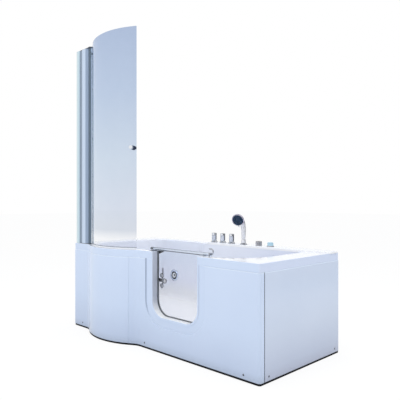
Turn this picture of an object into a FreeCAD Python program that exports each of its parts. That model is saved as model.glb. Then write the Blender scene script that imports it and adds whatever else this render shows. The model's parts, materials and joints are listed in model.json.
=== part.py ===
import FreeCAD, Part
import math
import os
import Sketcher
from FreeCAD import Placement, Rotation, Vector

# Walk-in shower bath with a hinged glass door and a curved bath screen that pivots.
# Millimetres. +X runs to the backrest end on the right, +Y to the back wall and +Z up.
# The origin lies on the floor, under the middle of the overall box.

SIZES = {
    # Tub outline in plan
    "tub_length": 1700,
    "tub_width": 760,
    "bow_depth": 90,
    "bow_centre_from_left": 460,
    "bow_radius": 460,
    "bow_blend_radius": 110,
    "corner_radius": 16,
    # Shell
    "rim_height": 600,
    "shell_wall": 8,
    "skirt_height": 45,
    "rim_inset": 2,
    "deck_front": 50,
    "deck_left": 130,
    "deck_right": 160,
    "deck_back": 105,
    "basin_floor_height": 150,
    "floor_fillet": 48,
    "backrest_slope": 120,
    "front_left_radius": 120,
    "front_right_radius": 250,
    "back_right_radius": 150,
    "back_left_radius": 140,
    "ledge_height": 8,
    "ledge_length": 1000,
    "ledge_step": 35,
    "ledge_step_radius": 120,
    # General clearances
    "overrun": 20,
    "fit_gap": 0.2,
    "running_gap": 0.3,
    "bearing_gap": 0.05,
    # Panels
    "panel_thickness": 5,
    "panel_foot": 10,
    "panel_reveal": 1,
    "panel_return": 38,
    "panel_seam": 1,
    "recess_width": 62,
    "recess_depth": 4,
    "strip_inset": 2,
    "strip_thickness": 6,
    "screw_height": 33,
    "screw_head_radius": 6,
    "screw_head_height": 2,
    "screw_shank_radius": 2.5,
    "screw_length": 24,
    "screw_from_left": 101,
    "screw_from_door": 69,
    "screw_from_right": 104,
    "end_screw_from_front": 74,
    "end_screw_from_back": 44,
    "batten_depth": 30,
    "batten_height": 35,
    "batten_left_length": 120,
    "batten_end_margin": 20,
    # Door opening and its surround
    "door_width": 384,
    "door_from_right": 632,
    "sill_height": 212,
    "door_radius": 95,
    "liner_wall": 5,
    "flange_width": 14,
    "flange_thickness": 3,
    "seal_thickness": 6,
    "seal_lap": 12,
    "seal_lip": 2,
    "seal_lip_depth": 6,
    # Door leaf
    "door_glass_thickness": 8,
    "door_glass_lap": 14,
    "rail_radius": 8,
    "rail_clearance": 0.5,
    "rail_grip": 4,
    "rail_tail": 50,
    "rail_past_door": 56,
    "bracket_plate": 3,
    "bracket_width": 32,
    "bracket_length": 40,
    "bracket_boss_radius": 9,
    "hinge_from_door": 26,
    "hinge_behind_wall": 10,
    "hinge_height": 421,
    "hinge_length": 72,
    "hinge_middle_length": 27,
    "knuckle_radius": 8,
    "hinge_pin_radius": 4,
    "hinge_pin_head": 3,
    "hinge_pin_head_radius": 7,
    "leaf_width": 42,
    "leaf_thickness": 3,
    "strap_thickness": 4,
    "strap_width": 10,
    "strap_from_hinge": 55,
    "strap_below": 43,
    "strap_above": 76,
    "arm_height": 20,
    "disc_radius": 12.5,
    "disc_thickness": 5,
    "disc_bolt_radius": 4,
    "disc_below": 31,
    "knob_disc_from_hinge": 82,
    "knob_disc_radius": 14,
    # Latch
    "hook_radius": 5,
    "hook_bend": 15,
    "hook_tip": 12,
    "hook_shaft": 30,
    "latch_pin_radius": 4,
    "latch_pin_height": 17,
    # Bath screen
    "screen_height": 1400,
    "screen_inset": 26,
    "screen_glass_thickness": 6,
    "screen_free_from_left": 708,
    "screen_glass_foot": 8,
    "screen_glass_start": 8,
    "channel_width": 32,
    "channel_depth": 30,
    "channel_wall": 2.5,
    "channel_hole_radius": 3,
    "channel_hole_spacing": 1200,
    "channel_hole_margin": 100,
    "adjuster_setback": 12,
    "adjuster_reach": 54,
    "adjuster_wall": 2,
    "post_width": 94,
    "post_flat": 56,
    "post_nose": 8,
    "post_bore_radius": 9,
    "pivot_from_left": 170,
    "pivot_radius": 19,
    "pivot_pin_radius": 5,
    "pivot_pin_length": 20,
    "pivot_plate": 3,
    "screen_seal_width": 10,
    "screen_seal_height": 18,
    "screen_seal_gap": 0.6,
    "screen_seal_from_pivot": 30,
    "screen_knob_from_edge": 22,
    "screen_knob_height": 1245,
    "screen_knob_radius": 16,
    "screen_knob_length": 22,
    "screen_knob_neck_radius": 8,
    "screen_knob_neck": 6,
    "screen_knob_bolt_radius": 4,
    # Frame and feet
    "tube_size": 30,
    "cross_height": 64,
    "cross_from_front": 45,
    "rail_from_front": 155,
    "rail_from_back": 215,
    "board_thickness": 18,
    "board_from_left": 210,
    "board_from_right": 360,
    "board_from_front": 130,
    "board_from_back": 185,
    "board_waste_radius": 62,
    "door_post_depth": 25,
    "door_post_from_front": 12,
    "door_post_from_recess": 40,
    "foot_from_end": 45,
    "foot_radius": 25,
    "foot_pad_height": 12,
    "foot_stud_radius": 6,
    "foot_nut_radius": 11,
    "foot_nut_height": 9,
    # Waste and overflow
    "waste_from_left": 330,
    "waste_from_front": 380,
    "waste_flange_radius": 36,
    "waste_flange_thickness": 3,
    "waste_bore_radius": 20,
    "waste_neck_radius": 24,
    "waste_neck_length": 50,
    "plug_radius": 31,
    "plug_thickness": 5,
    "plug_stem_radius": 6,
    "plug_stem_length": 42,
    "waste_collar_radius": 29,
    "waste_collar_length": 22,
    "waste_pipe_radius": 20,
    "waste_pipe_bore": 17,
    "waste_pipe_height": 40,
    "waste_pipe_from_left": 5,
    "waste_spigot_length": 40,
    "waste_stop_radius": 23,
    "waste_stop_width": 5,
    "overflow_height": 500,
    "overflow_plate_radius": 36,
    "overflow_plate_thickness": 4,
    "overflow_neck_radius": 18,
    "overflow_neck_length": 20,
    "overflow_bore_radius": 9,
    "overflow_knob_radius": 26,
    "overflow_knob_length": 15,
    "overflow_stem_length": 18,
    "overflow_pipe_radius": 16,
    "overflow_body_radius": 23,
    "overflow_pipe_from_wall": 37,
    # Massage jets
    "jet_from_left": 322,
    "jet_pitch": 418,
    "jet_past_step": 40,
    "jet_height": 322,
    "jet_ring_radius": 45,
    "jet_ring_thickness": 6,
    "jet_neck_radius": 27,
    "jet_neck_length": 20,
    "jet_bore_radius": 24.5,
    "jet_nozzle_depth": 14,
    "jet_nozzle_setback": 1,
    "jet_hole_radius": 8,
    "jet_hole_offset": 9,
    "jet_body_radius": 34,
    "jet_body_from_back": 22,
    "jet_body_recess": 14,
    "water_pipe_radius": 14,
    "water_pipe_from_back": 38,
    "water_pipe_below_jet": 52,
    "water_pipe_overhang": 42,
    "water_stub_radius": 9,
    "discharge_height": 300,
    "air_pipe_radius": 8,
    "air_pipe_above_jet": 50,
    "air_pipe_from_back": 42,
    "air_stub_radius": 5,
    "suction_from_right": 750,
    "suction_height": 262,
    "suction_cover_radius": 45,
    "suction_cover_thickness": 6,
    "suction_neck_radius": 22,
    "suction_neck_length": 14,
    "suction_slot_radius": 3.5,
    "suction_slot_ring": 30,
    "suction_pipe_radius": 16,
    "suction_elbow_radius": 20,
    "suction_pipe_from_back": 70,
    "pump_from_right": 135,
    "pump_from_front": 250,
    "pump_motor_length": 150,
    "pump_motor_radius": 55,
    "pump_fin_depth": 4,
    "pump_fin_pitch": 14,
    "pump_fin_width": 5,
    "pump_housing_radius": 68,
    "pump_housing_length": 60,
    "pump_base_thickness": 6,
    "pump_base_margin": 10,
    "pump_axis_height": 175,
    "pump_foot_width": 80,
    # Deck fittings
    "fitting_from_back": 60,
    "tap_from_right": 959,
    "tap_pitch": 83.5,
    "valve_radius": 12,
    "valve_body_radius": 14,
    "valve_body_length": 60,
    "valve_nut_radius": 21,
    "valve_nut_height": 12,
    "valve_spindle_radius": 8,
    "valve_spindle_height": 44,
    "inlet_radius": 10.5,
    "inlet_length": 22,
    "tap_flange_radius": 24,
    "tap_flange_height": 5,
    "tap_handle_radius": 17.5,
    "tap_handle_height": 61,
    "tap_handle_chamfer": 2,
    "shower_from_right": 683,
    "shower_flange_radius": 24,
    "shower_flange_height": 6,
    "shower_collar_radius": 17,
    "shower_collar_height": 34,
    "shower_sleeve_radius": 15,
    "shower_sleeve_length": 40,
    "shower_grip_radius": 12.5,
    "shower_grip_below": 50,
    "shower_stop_radius": 15,
    "shower_stop_height": 5,
    "shower_handle_radius": 11,
    "shower_handle_height": 95,
    "shower_head_ahead": 42,
    "shower_head_aside": -14,
    "shower_head_rise": 34,
    "shower_head_radius": 44,
    "shower_head_depth": 16,
    "shower_head_back_radius": 24,
    "shower_head_lip": 7,
    "shower_face_radius": 37,
    "shower_face_thickness": 2,
    "air_from_right": 552,
    "air_valve_radius": 20,
    "air_valve_length": 52,
    "air_bush_radius": 8,
    "air_stem_radius": 6,
    "air_stem_height": 20,
    "air_knob_radius": 21,
    "air_knob_height": 29,
    "air_flute_radius": 2,
    "button_from_right": 456,
    "button_bezel_radius": 20,
    "button_bezel_height": 22,
    "button_tail_radius": 9,
    "button_tail_length": 48,
    "button_floor": 3,
    "button_radius": 14,
    "button_travel": 4,
    "button_rise": 6,
}

# Counts and shares
JET_NAMES = ("jet_nozzle_left", "jet_nozzle_middle", "jet_nozzle_right")
TAP_NAMES = ("hot_handle", "cold_handle", "diverter_handle")
CROSS_SHARES = (-0.48, -0.2, 0.16, 0.375, 0.462)
AIR_FLUTES = 18
SUCTION_SLOTS = 10
SHOWER_FACING_SHARES = (0.335, -0.88, -0.34)
DISC_CROWN_SHARE = 0.8
KNOB_TAPER_SHARE = 0.9
KNOB_GRIP_SHARE = 0.8
FLUTE_SHARE = 0.8


class Size:
    """A length that knows both its number and the sheet formula that gives it."""

    def __init__(self, number, formula):
        self.number = float(number)
        self.formula = formula

    def __float__(self):
        return self.number

    def __neg__(self):
        return Size(-self.number, f"-({self.formula})")

    def __add__(self, other):
        text = other.formula if isinstance(other, Size) else str(other)
        return Size(self.number + float(other), f"({self.formula} + {text})")

    def __sub__(self, other):
        return self + -other

    def __rsub__(self, other):
        return -self + other

    def __mul__(self, share):
        return Size(self.number * share, f"({self.formula} * {share})")

    def __truediv__(self, count):
        return Size(self.number / count, f"({self.formula} / {count})")

    __radd__ = __add__
    __rmul__ = __mul__


class Named:
    """The sheet's sizes as attributes."""


doc = FreeCAD.newDocument("WalkInBath")
sheet = doc.addObject("Spreadsheet::Sheet", "Sizes")
for row, (alias, value) in enumerate(SIZES.items(), start=1):
    sheet.set(f"A{row}", alias)
    sheet.set(f"B{row}", str(value))
    sheet.setAlias(f"B{row}", alias)
doc.recompute()

s = Named()
for alias in SIZES:
    setattr(s, alias, Size(float(sheet.get(alias)), f"Sizes.{alias}"))

X = Vector(1, 0, 0)
Y = Vector(0, 1, 0)
Z = Vector(0, 0, 1)
FULL_TURN = 360
HALF_TURN = 180

nodes = []


# Building blocks

def part(thing, label):
    """Names a finished sub-part and keeps it for export."""
    thing.Label = label
    nodes.append(thing)
    return thing


def plain(number):
    """A size that a curve gives as a number."""
    return Size(number, str(number))


def point(x, y, z):
    return Vector(float(x), float(y), float(z))


def bind(thing, **sizes):
    for name, value in sizes.items():
        thing.setExpression(name, value.formula)


def distance(*spans):
    """The length of a slanting line, from its spans along the axes."""
    number = math.sqrt(sum(float(span) ** 2 for span in spans))
    return Size(number, "sqrt(" + " + ".join(f"({span.formula})^2" for span in spans) + ")")


def box(low, extent):
    block = doc.addObject("Part::Box", "Block")
    bind(block, Length=extent[0], Width=extent[1], Height=extent[2])
    block.Placement = Placement(point(*low), Rotation())
    return block


def rod(start, direction, radius, length):
    bar = doc.addObject("Part::Cylinder", "Rod")
    bind(bar, Radius=radius, Height=length)
    bar.Placement = Placement(point(*start), Rotation(Z, direction))
    return bar


def ball(centre, radius):
    sphere = doc.addObject("Part::Sphere", "Ball")
    bind(sphere, Radius=radius)
    sphere.Placement = Placement(point(*centre), Rotation())
    return sphere


def bend(centre, outward, onward, bend_radius, radius, angle):
    """A round bend about a centre, from the outward side and travelling onward."""
    ring = doc.addObject("Part::Torus", "Bend")
    bind(ring, Radius1=bend_radius, Radius2=radius)
    ring.Angle3 = angle
    ring.Placement = Placement(point(*centre), Rotation(outward, onward, outward.cross(onward), "ZXY"))
    return ring


def fuse(*things):
    if len(things) == 1:
        return things[0]
    whole = doc.addObject("Part::MultiFuse", "Whole")
    whole.Shapes = list(things)
    return whole


def cut(base, *tools):
    left_over = doc.addObject("Part::Cut", "Cut")
    left_over.Base = base
    left_over.Tool = fuse(*tools)
    return left_over


def group(things):
    several = doc.addObject("Part::Compound", "Group")
    several.Links = list(things)
    return several


def solid(shape):
    """A piece whose curved plan or double curve is worked out here."""
    piece = doc.addObject("Part::Feature", "Solid")
    piece.Shape = shape
    piece.Placement = Placement(Vector(), Rotation())
    return piece


def fix(sketch, kind, axis, geometry, end, size):
    """Holds one coordinate of an end point, on the sketch's axis where it is plain zero."""
    if isinstance(size, Size):
        index = sketch.addConstraint(Sketcher.Constraint(kind, -1, 1, geometry, end, float(size)))
        sketch.setExpression(f"Constraints[{index}]", size.formula)
    else:
        sketch.addConstraint(Sketcher.Constraint("PointOnObject", geometry, end, axis))


def outline(sketch, corners):
    """Draws a closed outline: (a, b) ends a line and (a, b, centre a, centre b, radius) ends an arc."""
    ends = []
    last = corners[-1]
    for corner in corners:
        start = Vector(float(last[0]), float(last[1]), 0)
        stop = Vector(float(corner[0]), float(corner[1]), 0)
        first, final = 1, 2
        if len(corner) == 2:
            index = sketch.addGeometry(Part.LineSegment(start, stop))
        else:
            centre = Vector(float(corner[2]), float(corner[3]), 0)
            circle = Part.Circle(centre, Z, float(corner[4]))
            from_angle, to_angle = circle.parameter(start), circle.parameter(stop)
            if (start - centre).cross(stop - centre).z < 0:
                from_angle, to_angle = to_angle, from_angle
                first, final = 2, 1
            index = sketch.addGeometry(Part.ArcOfCircle(circle, from_angle, to_angle))
        ends.append((index, first, final))
        last = corner
    for here, (index, first, final) in enumerate(ends):
        following, next_first, _ = ends[(here + 1) % len(ends)]
        sketch.addConstraint(Sketcher.Constraint("Coincident", index, final, following, next_first))
    for (index, first, final), corner in zip(ends, corners):
        fix(sketch, "DistanceX", -2, index, final, corner[0])
        fix(sketch, "DistanceY", -1, index, final, corner[1])
        if len(corner) > 2:
            number = sketch.addConstraint(Sketcher.Constraint("Radius", index, float(corner[4])))
            sketch.setExpression(f"Constraints[{number}]", corner[4].formula)


def sketched(plane, corners):
    """A body with one sketch on one of its own origin planes."""
    body = doc.addObject("PartDesign::Body", "Body")
    sketch = body.newObject("Sketcher::SketchObject", "Section")
    support = [plain for plain in body.Origin.OriginFeatures if plain.Role == plane][0]
    sketch.AttachmentSupport = [(support, "")]
    sketch.MapMode = "FlatFace"
    outline(sketch, corners)
    return body, sketch


def padded(plane, corners, depth, place):
    """A plate: its outline on the XY plane rises along Z, on the XZ plane it comes forward along -Y."""
    body, sketch = sketched(plane, corners)
    pad = body.newObject("PartDesign::Pad", "Pad")
    pad.Profile = sketch
    bind(pad, Length=depth)
    body.Placement = Placement(point(*place), Rotation())
    return body


def turned(profile, start, direction=Z):
    """A piece turned on a lathe: its half section is a list of (radius, height)."""
    body, sketch = sketched("XZ_Plane", profile)
    turn = body.newObject("PartDesign::Revolution", "Turn")
    turn.Profile = sketch
    turn.ReferenceAxis = (sketch, ["V_Axis"])
    turn.Angle = FULL_TURN
    body.Placement = Placement(point(*start), Rotation(Z, direction))
    return body


# Datum planes of the tub
ZERO = plain(0)
LEFT = -s.tub_length / 2
RIGHT = s.tub_length / 2
FRONT = (s.bow_depth - s.tub_width) / 2
BACK = (s.bow_depth + s.tub_width) / 2
RIM = s.rim_height
LEDGE = s.rim_height + s.ledge_height
SKIRT_FOOT = s.rim_height - s.skirt_height
DECK_UNDER = s.rim_height - s.shell_wall
INNER_FRONT = FRONT + s.deck_front
INNER_LEFT = LEFT + s.deck_left
INNER_BACK = BACK - s.deck_back
INNER_BACK_LEFT = INNER_BACK + s.ledge_step
PANEL_TOP = SKIRT_FOOT - s.panel_reveal
PANEL_HEIGHT = PANEL_TOP - s.panel_foot
DOOR_X = RIGHT - s.door_from_right
DOOR_LEFT = DOOR_X - s.door_width / 2
DOOR_RIGHT = DOOR_X + s.door_width / 2
FITTING_Y = BACK - s.fitting_from_back

# The bow and its blends as plain numbers, for the curved plans
BOW = point(LEFT + s.bow_centre_from_left, FRONT - s.bow_depth + s.bow_radius, 0)
BLEND_Y = float(FRONT - s.bow_blend_radius)
BLEND_REACH = math.sqrt(float(s.bow_radius + s.bow_blend_radius) ** 2 - (BOW.y - BLEND_Y) ** 2)
BLENDS = (Vector(BOW.x - BLEND_REACH, BLEND_Y, 0), Vector(BOW.x + BLEND_REACH, BLEND_Y, 0))
SEAM_X = BOW.x + BLEND_REACH * float(s.bow_radius) / float(s.bow_radius + s.bow_blend_radius)


def front_stations(inset):
    """The places along X where the front edge, set back by the inset, changes from line to arc."""
    turn_reach = BLEND_REACH * (float(s.bow_radius) - inset) / float(s.bow_radius + s.bow_blend_radius)
    return BLENDS[0].x, BOW.x - turn_reach, BOW.x + turn_reach, BLENDS[1].x


def front_y(x, inset):
    """The front edge's Y at an X: line, blend arc, bow arc, blend arc, line."""
    start, bow_start, bow_end, end = front_stations(inset)
    if x <= start or x >= end:
        return float(FRONT) + inset
    if bow_start < x < bow_end:
        return BOW.y - math.sqrt((float(s.bow_radius) - inset) ** 2 - (x - BOW.x) ** 2)
    blend = BLENDS[0] if x <= bow_start else BLENDS[1]
    return blend.y + math.sqrt((float(s.bow_blend_radius) + inset) ** 2 - (x - blend.x) ** 2)


def front_chain(inset, from_x, to_x):
    """The edges of the front edge between two places along X."""
    stops = [from_x] + [x for x in front_stations(inset) if from_x < x < to_x] + [to_x]
    edges = []
    for a, b in zip(stops, stops[1:]):
        ends = [Vector(x, front_y(x, inset), 0) for x in (a, (a + b) / 2, b)]
        straight = ends[0].y == ends[1].y == ends[2].y
        curve = Part.LineSegment(ends[0], ends[2]) if straight else Part.Arc(*ends)
        edges.append(curve.toShape())
    return edges


def line(*ends):
    """The edges through a row of (x, y) places."""
    places = [Vector(float(x), float(y), 0) for x, y in ends]
    return [Part.LineSegment(a, b).toShape() for a, b in zip(places, places[1:])]


def arc(centre, radius, from_angle, to_angle):
    """An arc between two angles given in radians."""
    angles = (from_angle, (from_angle + to_angle) / 2, to_angle)
    ends = [centre + Vector(math.cos(angle), math.sin(angle), 0) * radius for angle in angles]
    return [Part.Arc(*ends).toShape()]


def wire(edges):
    return Part.Wire(Part.__sortEdges__(edges))


def raised(edges, from_z, to_z):
    """The upright solid over a closed plan."""
    face = Part.Face(wire(edges))
    face.translate(Vector(0, 0, float(from_z)))
    return face.extrude(Vector(0, 0, float(to_z - from_z)))


def front_strip(outer, inner, from_x, to_x):
    """The plan of a band along the front edge, between two insets."""
    outer, inner, from_x, to_x = float(outer), float(inner), float(from_x), float(to_x)
    edges = front_chain(outer, from_x, to_x) + front_chain(inner, from_x, to_x)
    edges += line((from_x, front_y(from_x, outer)), (from_x, front_y(from_x, inner)))
    edges += line((to_x, front_y(to_x, outer)), (to_x, front_y(to_x, inner)))
    return edges


def corner_chain(inset, to_y):
    """The rounded front right corner and the end side up to a Y, set back by the inset."""
    inset = float(inset)
    radius = float(s.corner_radius) - inset
    centre = point(RIGHT - s.corner_radius, FRONT + s.corner_radius, 0)
    edges = arc(centre, radius, -math.pi / 2, 0)
    edges += line((float(RIGHT) - inset, centre.y), (float(RIGHT) - inset, to_y))
    return edges


def tub_plan(inset):
    """The closed outline of the tub, set back by the inset; its wall sides end with the panels."""
    inset = float(inset)
    wall_inset = inset - float(s.rim_inset)
    left, back = float(LEFT) + wall_inset, float(BACK) - wall_inset
    edges = front_chain(inset, left, float(RIGHT - s.corner_radius))
    edges += corner_chain(inset, back)
    edges += line((float(RIGHT) - inset, back), (left, back), (left, float(FRONT) + inset))
    return edges


def basin_plan(grow, slope):
    """The closed outline of the basin, grown by a wall and drawn in at the backrest by a slope."""
    grow, slope = float(grow), float(slope)
    left = float(INNER_LEFT) - grow
    right = float(RIGHT - s.deck_right) + grow - slope
    front, back = float(INNER_FRONT) - grow, float(INNER_BACK) + grow
    back_left = float(INNER_BACK_LEFT) + grow
    bow_radius = float(s.bow_radius - s.deck_front) + grow
    blend_radius = float(s.bow_blend_radius + s.deck_front) - grow
    front_left, front_right = float(s.front_left_radius) + grow, float(s.front_right_radius) + grow - slope
    back_right, back_corner = float(s.back_right_radius) + grow, float(s.back_left_radius) + grow
    corner_x = left + front_left
    corner_y = BOW.y - math.sqrt((bow_radius - front_left) ** 2 - (corner_x - BOW.x) ** 2)
    to_corner = math.atan2(corner_y - BOW.y, corner_x - BOW.x)
    to_blend = math.atan2(BLEND_Y - BOW.y, BLEND_REACH)
    quarter = math.pi / 2
    edges = arc(Vector(corner_x, corner_y, 0), front_left, -2 * quarter, to_corner)
    edges += arc(BOW, bow_radius, to_corner, to_blend)
    edges += arc(BLENDS[1], blend_radius, to_blend + 2 * quarter, quarter)
    edges += line((BLENDS[1].x, front), (right - front_right, front))
    edges += arc(Vector(right - front_right, front + front_right, 0), front_right, -quarter, 0)
    edges += line((right, front + front_right), (right, back - back_right))
    edges += arc(Vector(right - back_right, back - back_right, 0), back_right, 0, quarter)
    step_x, step_radius = float(RIGHT - s.ledge_length), float(s.ledge_step_radius)
    swing = math.acos(1 - float(s.ledge_step) / (2 * step_radius))
    step_end = step_x - 2 * step_radius * math.sin(swing)
    edges += line((right - back_right, back), (step_x, back))
    near, far = step_radius - grow, step_radius + grow
    edges += arc(Vector(step_x, back + near, 0), near, -quarter, -quarter - swing)
    edges += arc(Vector(step_end, back_left - far, 0), far, quarter - swing, quarter)
    edges += line((step_end, back_left), (left + back_corner, back_left))
    edges += arc(Vector(left + back_corner, back_left - back_corner, 0), back_corner, quarter, 2 * quarter)
    edges += line((left, back_left - back_corner), (left, corner_y))
    return wire(edges)


def basin(grow, top):
    """The basin as a solid with a rounded floor edge, grown by a wall."""
    grow = float(grow)
    floor = float(s.basin_floor_height) - grow
    share = (float(top) - floor) / float(RIM - s.basin_floor_height)
    low = basin_plan(grow, s.backrest_slope)
    high = basin_plan(grow, s.backrest_slope * (1 - share))
    low.translate(Vector(0, 0, floor))
    high.translate(Vector(0, 0, float(top)))
    hull = Part.makeLoft([low, high], True, True)
    rim = [edge for edge in hull.Edges if edge.BoundBox.ZMax < floor + float(s.overrun) / 2]
    return hull.makeFillet(float(s.floor_fillet) + grow, rim)


def door_plate(offset, top, rear, depth):
    """A plate of the doorway's U outline, grown by an offset, with its rear face at a Y."""
    half, low = s.door_width / 2 + offset, s.sill_height - offset
    radius = s.door_radius + offset
    corners = [
        (-half, top),
        (-half, low + radius),
        (radius - half, low, radius - half, low + radius, radius),
        (half - radius, low),
        (half, low + radius, half - radius, low + radius, radius),
        (half, top),
    ]
    return padded("XZ_Plane", corners, depth, (DOOR_X, rear, 0))


def door_ring(inner, outer, top, rear, depth):
    """A U-shaped band round the doorway, between two offsets."""
    wide, low = s.door_width / 2 + outer, s.sill_height - outer
    half, sill = s.door_width / 2 + inner, s.sill_height - inner
    out_radius, radius = s.door_radius + outer, s.door_radius + inner
    corners = [
        (-wide, top),
        (-wide, low + out_radius),
        (out_radius - wide, low, out_radius - wide, low + out_radius, out_radius),
        (wide - out_radius, low),
        (wide, low + out_radius, wide - out_radius, low + out_radius, out_radius),
        (wide, top),
        (half, top),
        (half, sill + radius),
        (half - radius, sill, half - radius, sill + radius, radius),
        (radius - half, sill),
        (-half, sill + radius, radius - half, sill + radius, radius),
        (-half, top),
    ]
    return padded("XZ_Plane", corners, depth, (DOOR_X, rear, 0))


# Places that several pieces share
WASTE_X = LEFT + s.waste_from_left
WASTE_Y = FRONT + s.waste_from_front
STEP_X = RIGHT - s.ledge_length
FIRST_JET_X = LEFT + s.jet_from_left
JET_XS = [FIRST_JET_X, STEP_X + s.jet_past_step, FIRST_JET_X + s.jet_pitch * 2]
JET_WALLS = [INNER_BACK_LEFT, INNER_BACK, INNER_BACK]
TAP_XS = [RIGHT - s.tap_from_right + s.tap_pitch * number for number in range(len(TAP_NAMES))]
SHOWER_X = RIGHT - s.shower_from_right
AIR_X = RIGHT - s.air_from_right
BUTTON_X = RIGHT - s.button_from_right
SUCTION_X = RIGHT - s.suction_from_right
PUMP_X = RIGHT - s.pump_from_right
HINGE_X = DOOR_LEFT - s.hinge_from_door
HINGE_Y = INNER_FRONT + s.hinge_behind_wall
HINGE_FOOT = s.hinge_height - s.hinge_length / 2
SEAL_REAR = INNER_FRONT + s.seal_thickness
GLASS_FRONT = SEAL_REAR + s.running_gap
GLASS_REAR = GLASS_FRONT + s.door_glass_thickness
GLASS_MIDDLE = GLASS_FRONT + s.door_glass_thickness / 2
RAIL_Z = RIM + s.bracket_plate + s.rail_clearance + s.rail_radius
DOOR_GLASS_TOP = RAIL_Z - s.rail_radius + s.rail_grip
HOOK_X = DOOR_RIGHT + s.rail_past_door
SCREEN_TOP = RIM + s.screen_height
PIVOT_X = LEFT + s.pivot_from_left
PIVOT_Y = plain(front_y(float(PIVOT_X), float(s.screen_inset)))
POST_Y = FRONT + s.screen_inset
CROSS_TOP = s.cross_height + s.tube_size
RAIL_TOP = CROSS_TOP + s.tube_size


# Shell

def tub_shell():
    deck = raised(tub_plan(s.rim_inset), SKIRT_FOOT, RIM)
    hollow = raised(tub_plan(s.rim_inset + s.shell_wall), SKIRT_FOOT - s.overrun, DECK_UNDER)
    ledge_right = RIGHT - s.rim_inset
    ledge_left = RIGHT - s.ledge_length
    corners = [(ledge_left, INNER_BACK), (ledge_right, INNER_BACK), (ledge_right, BACK)]
    corners += [(ledge_left, BACK), (ledge_left, INNER_BACK)]
    ledge = raised(line(*corners), RIM - s.fit_gap, LEDGE)
    shape = deck.cut(hollow).fuse([basin(s.shell_wall, RIM), ledge])
    body = solid(shape.cut(basin(0, RIM + s.overrun)).removeSplitter())
    depth = s.deck_front + s.overrun * 2
    tools = [door_plate(s.liner_wall + s.fit_gap, RIM + s.overrun, INNER_FRONT + s.overrun, depth)]
    through = s.shell_wall + s.overrun * 2
    for x, wall in zip(JET_XS, JET_WALLS):
        tools.append(rod((x, wall - s.overrun, s.jet_height), Y, s.jet_neck_radius + s.fit_gap, through))
    suction = s.suction_neck_radius + s.fit_gap
    tools.append(rod((SUCTION_X, INNER_BACK - s.overrun, s.suction_height), Y, suction, through))
    floor = s.basin_floor_height - s.shell_wall - s.overrun
    tools.append(rod((WASTE_X, WASTE_Y, floor), Z, s.waste_neck_radius + s.fit_gap, through))
    overflow = s.overflow_neck_radius + s.fit_gap
    tools.append(rod((INNER_LEFT + s.overrun, WASTE_Y, s.overflow_height), -X, overflow, through))
    through += s.ledge_height
    fittings = [(x, s.valve_radius) for x in TAP_XS]
    fittings.append((SHOWER_X, s.shower_sleeve_radius))
    fittings.append((AIR_X, s.air_bush_radius))
    fittings.append((BUTTON_X, s.button_tail_radius))
    for x, radius in fittings:
        tools.append(rod((x, FITTING_Y, DECK_UNDER - s.overrun), Z, radius + s.fit_gap, through))
    part(cut(body, *tools), "tub_shell")


# Panels, their fixings and the strip under them

FRONT_SCREWS = (LEFT + s.screw_from_left, DOOR_LEFT - s.screw_from_door, RIGHT - s.screw_from_right)
END_SCREWS = (FRONT + s.end_screw_from_front, BACK - s.end_screw_from_back)


def front_screw_holes(numbers):
    radius = s.screw_shank_radius + s.fit_gap
    reach = s.screw_length + s.overrun
    holes = []
    for number in numbers:
        holes.append(rod((FRONT_SCREWS[number], FRONT - s.overrun, s.screw_height), Y, radius, reach))
    return holes


def end_screw_holes():
    radius = s.screw_shank_radius + s.fit_gap
    reach = s.screw_length + s.overrun
    return [rod((RIGHT + s.overrun, y, s.screw_height), -X, radius, reach) for y in END_SCREWS]


def bow_panel():
    plan = front_strip(0, s.panel_thickness, LEFT, SEAM_X - float(s.panel_seam) / 2)
    plate = solid(raised(plan, s.panel_foot, PANEL_TOP))
    part(cut(plate, *front_screw_holes([0])), "bow_panel")


def door_panel():
    thick = float(s.panel_thickness)
    start, bend_x = SEAM_X + float(s.panel_seam) / 2, float(RIGHT - s.corner_radius)
    end_y = FRONT + s.panel_return
    plan = front_chain(0, start, bend_x) + front_chain(thick, start, bend_x)
    plan += corner_chain(0, end_y) + corner_chain(thick, end_y)
    plan += line((start, front_y(start, 0)), (start, front_y(start, thick)))
    plan += line((float(RIGHT) - thick, end_y), (RIGHT, end_y))
    plate = solid(raised(plan, s.panel_foot, PANEL_TOP))
    lined = s.recess_width + s.panel_thickness
    backing = door_plate(lined, PANEL_TOP, FRONT + s.panel_thickness + s.recess_depth, s.recess_depth)
    recess = door_plate(s.recess_width, RIM, FRONT + s.recess_depth, s.recess_depth + s.overrun)
    opening = door_plate(s.liner_wall + s.fit_gap, RIM, INNER_FRONT, s.deck_front + s.overrun)
    part(cut(fuse(plate, backing), recess, opening, *front_screw_holes([1, 2])), "door_panel")


def end_panel():
    start = FRONT + s.panel_return + s.panel_seam
    extent = (s.panel_thickness, BACK - start, PANEL_HEIGHT)
    plate = box((RIGHT - s.panel_thickness, start, s.panel_foot), extent)
    part(cut(plate, *end_screw_holes()), "end_panel")


def floor_strips():
    inner = s.strip_inset + s.strip_thickness
    plan = front_strip(s.strip_inset, inner, LEFT + s.strip_inset, SEAM_X)
    bow = solid(raised(plan, ZERO, s.panel_foot))
    bend_x = RIGHT - s.corner_radius
    plan = front_strip(s.strip_inset, inner, SEAM_X + float(s.panel_seam), bend_x)
    straight = solid(raised(plan, ZERO, s.panel_foot))
    start = FRONT + s.corner_radius
    extent = (s.strip_thickness, BACK - start, s.panel_foot)
    end = box((RIGHT - inner, start, 0), extent)
    part(group([bow, straight, end]), "floor_strips")


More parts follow.
